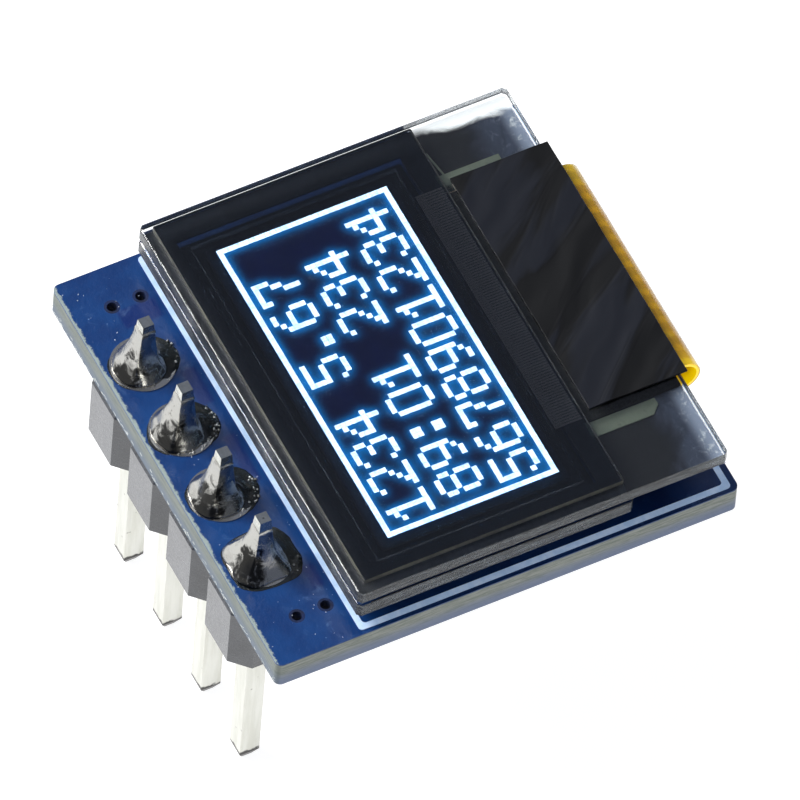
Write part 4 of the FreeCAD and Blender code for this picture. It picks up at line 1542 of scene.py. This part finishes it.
@dataclass
class DisplayPanel:
    """The two glasses, the film on them and what shows through."""

    corner: float = 0.12
    rim: float = 0.04
    sharp: float = 50.0
    flat_angle: float = 15.0
    glass_gap: float = 0.006
    recess_margin: float = 0.3
    film_corner: float = 0.06
    film_rim: float = 0.015
    seal_width: float = 0.7
    seal_round: float = 0.03
    shade_x: Span = (-4.33, 4.62)
    shade_y: Span = (-13.42, -10.22)
    shade_corner: float = 0.1
    shade_gap: float = 0.0015
    shade_thickness: float = 0.003
    shade_glare_margin: float = 0.05
    shade_glare_gap: float = 0.02
    shade_glare_thickness: float = 0.004
    shade_glare_cuts: int = 8
    flex_clearance: float = 0.06

    def build(self) -> None:
        """Model the glasses, their seal, film and tracks."""
        dress_node("foam_pad", "foam")
        dress_node("getter_sheet", "getter")
        dress_node("driver_chip", "silicon")
        self.rear_glass()
        self.front_glass()
        self.film()
        self.seal()
        LedgeTracks().build()
        self.ledge_shade()
        self.ledge_shade_glare()
        DotMatrix().build()

    def pane(self, name: str, low: Vector, high: Vector) -> Workpiece:
        """Shape a pane of glass with its corners cut off and fine bevels on its rims."""
        piece = Workpiece.block(name, low, high).cut_corners(self.corner, 1)
        return piece.bevel(self.rim, 2, self.sharp)

    def rear_glass(self) -> None:
        """The rear glass, with its recess, just off the foam."""
        low, high = node_box("cover_glass")
        recess_low, recess_high = node_box("getter_sheet")
        low.z += CONTACT_GAP
        high.z -= CONTACT_GAP
        piece = self.pane("rear_pane", low, high)
        margin = Vector((self.recess_margin, self.recess_margin, 0.01))
        recess_high.z = high.z + 1.0
        piece.carve(Workpiece.block("recess_cutter", recess_low - margin, recess_high + margin))
        piece.paint("edge", is_rim)
        piece.finish("glass", Slot.REAR_GLASS, "cover_glass", smooth=self.flat_angle)

    def front_glass(self) -> None:
        """The front glass, whose cut edges are ground."""
        low, high = node_box("front_glass")
        low.z += self.glass_gap
        piece = self.pane("front_pane", low, high)
        piece.paint("edge", is_rim)
        piece.finish("glass", Slot.GLASS, "front_glass", smooth=self.flat_angle)

    def film(self) -> None:
        """The dark film on the front glass, with its pale cut edge."""
        low, high = node_box("polarizer")
        low.z += CONTACT_GAP
        piece = Workpiece.block("polarizer_sheet", low, high).cut_corners(self.film_corner, 3)
        piece.bevel(self.film_rim, 1, self.sharp)
        piece.paint("film_edge", is_rim)
        piece.finish("polarizer", Slot.POLARIZER, "polarizer")

    def seal(self) -> None:
        """The glue line between the glasses: a ring with rounded rims."""
        low, high = node_box("edge_seal")
        high.z -= 2 * CONTACT_GAP
        piece = Workpiece.block("seal_bead", low, high)
        inset = Vector((self.seal_width, self.seal_width, -1.0))
        piece.carve(Workpiece.block("seal_cutter", low + inset, high - inset))
        piece.bevel(self.seal_round, 3)
        piece.finish("seal", Slot.SEAL, "edge_seal")

    def ledge_shade(self) -> None:
        """A black sheet under the ledge, which hides the driver and the film's end round the tape: painted
        shade for the dark band beside the tape.
        """
        bottom = node_box("front_glass")[0].z + self.shade_gap
        piece = Workpiece.block("ledge_shade", (self.shade_x[0], self.shade_y[0], bottom),
                                (self.shade_x[1], self.shade_y[1], bottom + self.shade_thickness))
        piece.cut_corners(self.shade_corner, 4)
        piece.finish("shade", Slot.TAPE)

    def ledge_shade_glare(self) -> None:
        """Two dark sheets behind the ledge, one on each side of the driver and the flexible circuit: painted
        shade under the ledge, with painted reflection and glare further out.
        """
        low, high = node_box("front_glass")
        flex_low, flex_high = node_box("flex_film")
        edge = node_box("polarizer")[0].y - self.shade_glare_gap
        top = node_box("ledge_tracks")[0].z - self.shade_glare_gap
        near = (low.x + self.shade_glare_margin, flex_low.x - self.flex_clearance)
        far = (flex_high.x + self.flex_clearance, high.x - self.shade_glare_margin)
        for name, (start, end) in (("shade_glare_near", near), ("shade_glare_far", far)):
            piece = Workpiece.grid(name, (start, low.y + self.shade_glare_margin, top), (end, edge, top),
                                   self.shade_glare_cuts, self.shade_glare_cuts)
            piece.modify("SOLIDIFY", thickness=self.shade_glare_thickness, offset=-1.0)
            piece.finish("shade_glare", Slot.GLASS)


@dataclass
class LedgeTracks:
    """The metal under the ledge: a fan of fine tracks to the driver, and a strip at each end."""

    fan_x: Span = (-4.2, 4.9)
    fan_end: float = -11.05
    fan_lines: int = 96
    fan_fill: float = 0.82
    strip_top: float = -10.2
    near_end: float = -4.37
    near_corner: float = 0.28
    far_start: float = 5.02
    far_inset: float = 0.2
    head_start: float = 4.64
    head_y: Span = (-10.58, -10.22)
    wire_y: Span = (-10.54, -10.48)
    wire_length: float = 0.9
    wire_lean: float = 9.0
    lap: float = 0.02

    def build(self) -> None:
        """Model the fan and the two strips."""
        low, high = node_box("ledge_tracks")
        high.z -= CONTACT_GAP
        self.fan(low, high)
        strips = self.near_strip(low, high).join(self.far_strip(low, high))
        strips.finish("track", Slot.TRACK, "ledge_tracks")

    def fan(self, low: Vector, high: Vector) -> None:
        """Model one fine track and copy it side by side.

        Args:
            low: The metal's lowest corner.
            high: The metal's highest corner.
        """
        start, end = self.fan_x
        pitch = (end - start) / self.fan_lines
        first = Workpiece.block("track_fan", (start, self.fan_end, low.z),
                                (start + pitch * self.fan_fill, high.y, high.z))
        lines = [first.copy(lambda point, move=number * pitch: point + Vector((move, 0.0, 0.0)))
                 for number in range(1, self.fan_lines)]
        first.join(lines).finish("fan", Slot.TRACK)

    def near_strip(self, low: Vector, high: Vector) -> Workpiece:
        """Model the strip at the near end, with its outer corner cut off.

        Args:
            low: The metal's lowest corner.
            high: The metal's highest corner.

        Returns:
            The strip.
        """
        strip = Workpiece.block("track_strips", low, (self.near_end, self.strip_top, high.z))

        def outer(edge: bmesh.types.BMEdge) -> bool:
            """Whether an edge stands at the strip's outer corner."""
            return all((vert.co - low).xy.length < self.lap for vert in edge.verts)

        with strip.editing(Element.EDGE, outer):
            bpy.ops.mesh.bevel(offset=self.near_corner, segments=1, affect="EDGES")
        return strip

    def far_strip(self, low: Vector, high: Vector) -> list[Workpiece]:
        """Model the strip at the far end, with a head beside the fan and a thin wire that leaves it.

        Args:
            low: The metal's lowest corner.
            high: The metal's highest corner.

        Returns:
            The strip, its head and its wire.
        """
        strip = Workpiece.block("far_strip", (self.far_start, low.y + self.far_inset, low.z),
                                (high.x, self.strip_top, high.z))
        head = Workpiece.block("strip_head", (self.head_start, self.head_y[0], low.z),
                               (self.far_start + self.lap, self.head_y[1], high.z))
        wire = Workpiece.block("strip_wire", (high.x - self.lap, self.wire_y[0], low.z),
                               (high.x + self.wire_length, self.wire_y[1], high.z))
        wire.turn(self.wire_lean, "Z", (high.x, sum(self.wire_y) / 2, high.z))
        return [strip, head, wire]


@dataclass
class LightShield:
    """The black tape over the ledge, creased on the slant and stuck a little unevenly."""

    cuts: tuple[int, int] = (120, 40)
    crease: float = 0.019
    lean: float = 41.0
    crease_pitch: float = 1.5
    crease_run: float = 0.05
    crease_gain: float = 2.0
    waver: float = 0.7
    waver_pitch: float = 0.8
    rim: float = 0.012

    def build(self) -> None:
        """Model the tape."""
        low, high = node_box("black_tape")
        bottom = low.z + CONTACT_GAP
        piece = Workpiece.grid("shield_tape", (low.x, low.y, high.z - self.crease), high, *self.cuts)
        lean = math.radians(self.lean)
        slope = Vector((math.cos(lean), math.sin(lean), 0.0))

        def crease(point: Vector) -> Vector:
            """Raise the slanting creases.

            Args:
                point: A point of the sheet.

            Returns:
                Its raised or lowered place.
            """
            along = point.dot(slope) * self.crease_pitch + self.waver * noise.noise(point * self.waver_pitch)
            lift = noise.noise(Vector((along, point.dot(slope.orthogonal()) * self.crease_run, 0.0)))
            point.z += self.crease * max(-1.0, min(1.0, lift * self.crease_gain))
            return point

        piece.reshape(crease)
        piece.modify("SOLIDIFY", thickness=high.z - self.crease * 2 - bottom, offset=-1.0)
        piece.bevel(self.rim, 1, 60.0)
        piece.finish("tape", Slot.TAPE, "black_tape")


@dataclass
class FlexCircuit:
    """The folded amber circuit under the ledge."""

    def build(self) -> None:
        """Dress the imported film, tracks and cover."""
        dress_node("flex_film", "film")
        dress_node("flex_cover", "cover")
        dress_node("flex_conductors", "copper")
        dress_node("flex_lands", "tinned")
        dress_node("flex_solder", "solder")


@dataclass
class UndersideParts:
    """The chips and the regulator under the board."""

    def build(self) -> None:
        """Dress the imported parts."""
        for number in range(1, 8):
            dress_node(f"capacitor_{number}", "capacitor")
        for number in range(1, 5):
            dress_node(f"resistor_{number}", "resistor")
        dress_node("chip_lands", "tinned")
        dress_node("chip_solder", "solder")
        dress_node("regulator_body", "moulding")
        for number in range(1, 4):
            dress_node(f"regulator_lead_{number}", "tinned")


@dataclass
class Studio:
    """A pale floor, soft lamps and the camera at the photograph's angle."""

    azimuth: float = -120.91
    elevation: float = 55.01
    roll: float = 5.059
    aim: Point = (-0.461, -6.256, 3.535)
    distance: float = 874.19
    lens: float = 1350.0
    film_width: float = 36.0
    sight: Span = (0.1, 10.0)
    key_way: Point = (0.5, 0.55, 0.75)
    key_size: float = 1100.0
    key_power: float = 62.0
    key_distance: float = 2.0
    floor_half: float = 4000.0
    floor_fade: Span = (40.0, 160.0)
    floor_sides: Span = (-60.0, 90.0)
    floor_lift: Span = (0.12, 0.6)
    bright_way: Point = (0.58, 0.81, 0.0)
    horizon: float = 1.0
    sky: float = 0.2
    pale: float = 0.93

    def build(self) -> None:
        """Set up the floor, the sky, the lamps and the camera."""
        self.floor()
        self.world()
        self.lamp()
        self.camera()

    def floor(self) -> None:
        """A wide pale sheet just under the pins, clear from below, that is brightest near the module."""
        low = node_box("header_pin_1")[0].z
        deselect()
        bpy.ops.mesh.primitive_plane_add(size=2 * self.floor_half * MM, location=(0.0, 0.0, low * MM))
        item = bpy.context.object
        item.name = "studio_floor"
        graph = Graph("pale_floor")
        shade = graph.mix(graph.noise(0.004, 2.0), (0.34, 0.34, 0.34), (0.32, 0.32, 0.32))
        away = graph.node("VectorMath", {0: graph.place}, {"operation": "LENGTH"}).outputs["Value"]
        lit_side = graph.span(graph.along(self.bright_way, graph.place), *self.floor_sides, *self.floor_lift)
        shine = graph.span(away, *self.floor_fade, self.pale, lit_side)
        seen = graph.node("LightPath").outputs["Is Camera Ray"]
        shader = graph.surface(Base_Color=shade, Roughness=0.9, Emission_Color=(1.0, 1.0, 1.0),
                               Emission_Strength=graph.span(seen, 0.0, 1.0, shine, self.pale))
        under = graph.node("NewGeometry").outputs["Backfacing"]
        veil = graph.node("BsdfTransparent")
        joined = graph.node("MixShader", {0: under, 1: shader.outputs[0], 2: veil.outputs[0]})
        graph.tree.links.new(joined.outputs[0], graph.output.inputs[0])
        item.data.materials.append(graph.material)

    def world(self) -> None:
        """A dim bluish sky, bright low down on the side that the key lamp stands on."""
        world = bpy.data.worlds.new("studio_sky")
        bpy.context.scene.world = world
        world.use_nodes = True
        graph = NodeTree(world.node_tree)
        way = graph.node("TexCoord").outputs["Generated"]
        lit_side = graph.span(graph.along(self.bright_way, way), -0.1, 0.7)
        low_down = graph.span(graph.along((0.0, 0.0, 1.0), way), 0.1, 0.75, 1.0, 0.0)
        glow = graph.sum("MULTIPLY", graph.sum("MULTIPLY", lit_side, low_down), self.horizon)
        shade = graph.mix(glow, (0.82, 0.92, 1.2), (1.0, 1.0, 1.0))
        seen = graph.node("LightPath").outputs["Is Camera Ray"]
        strength = graph.span(seen, 0.0, 1.0, graph.sum("ADD", glow, self.sky), self.pale)
        shade = graph.mix(seen, shade, (1.0, 1.0, 1.0))
        sky = graph.node("Background", {"Color": shade, "Strength": strength})
        output = graph.node("OutputWorld")
        graph.tree.links.new(sky.outputs[0], output.inputs[0])

    def lamp(self) -> None:
        """Hang the square key lamp."""
        away = Vector(self.key_way).normalized()
        data = bpy.data.lights.new("key_lamp", "AREA")
        data.size = self.key_size * MM
        data.energy = self.key_power
        item = bpy.data.objects.new("key_lamp", data)
        item.location = away * self.key_distance
        item.rotation_mode = "QUATERNION"
        item.rotation_quaternion = (-away).to_track_quat("-Z", "Y")
        bpy.context.scene.collection.objects.link(item)

    def camera(self) -> None:
        """Set the camera where the photograph was taken from."""
        azimuth, elevation, roll = map(math.radians, (self.azimuth, self.elevation, self.roll))
        back = Vector((math.sin(azimuth) * math.cos(elevation), -math.cos(azimuth) * math.cos(elevation),
                       math.sin(elevation)))
        right = Vector((0.0, 0.0, 1.0)).cross(back).normalized()
        upward = back.cross(right)
        level = right * math.cos(roll) + upward * math.sin(roll)
        upright = upward * math.cos(roll) - right * math.sin(roll)
        data = bpy.data.cameras.new("photo_camera")
        data.lens = self.lens
        data.sensor_width = self.film_width
        data.clip_start, data.clip_end = self.sight
        item = bpy.data.objects.new("photo_camera", data)
        item.rotation_mode = "QUATERNION"
        item.rotation_quaternion = Matrix((level, upright, back)).transposed().to_quaternion()
        item.location = (Vector(self.aim) + back * self.distance) * MM
        bpy.context.scene.collection.objects.link(item)
        bpy.context.scene.camera = item


def main() -> None:
    """Build the module's looks and its studio."""
    logging.basicConfig(level=logging.INFO, format="%(message)s")
    bpy.context.scene.view_settings.view_transform = "Standard"
    for part in (CircuitBoard(), PinHeader(), DisplayPanel(), LightShield(), FlexCircuit(), UndersideParts()):
        part.build()
    Studio().build()


if __name__ == "__main__":
    main()
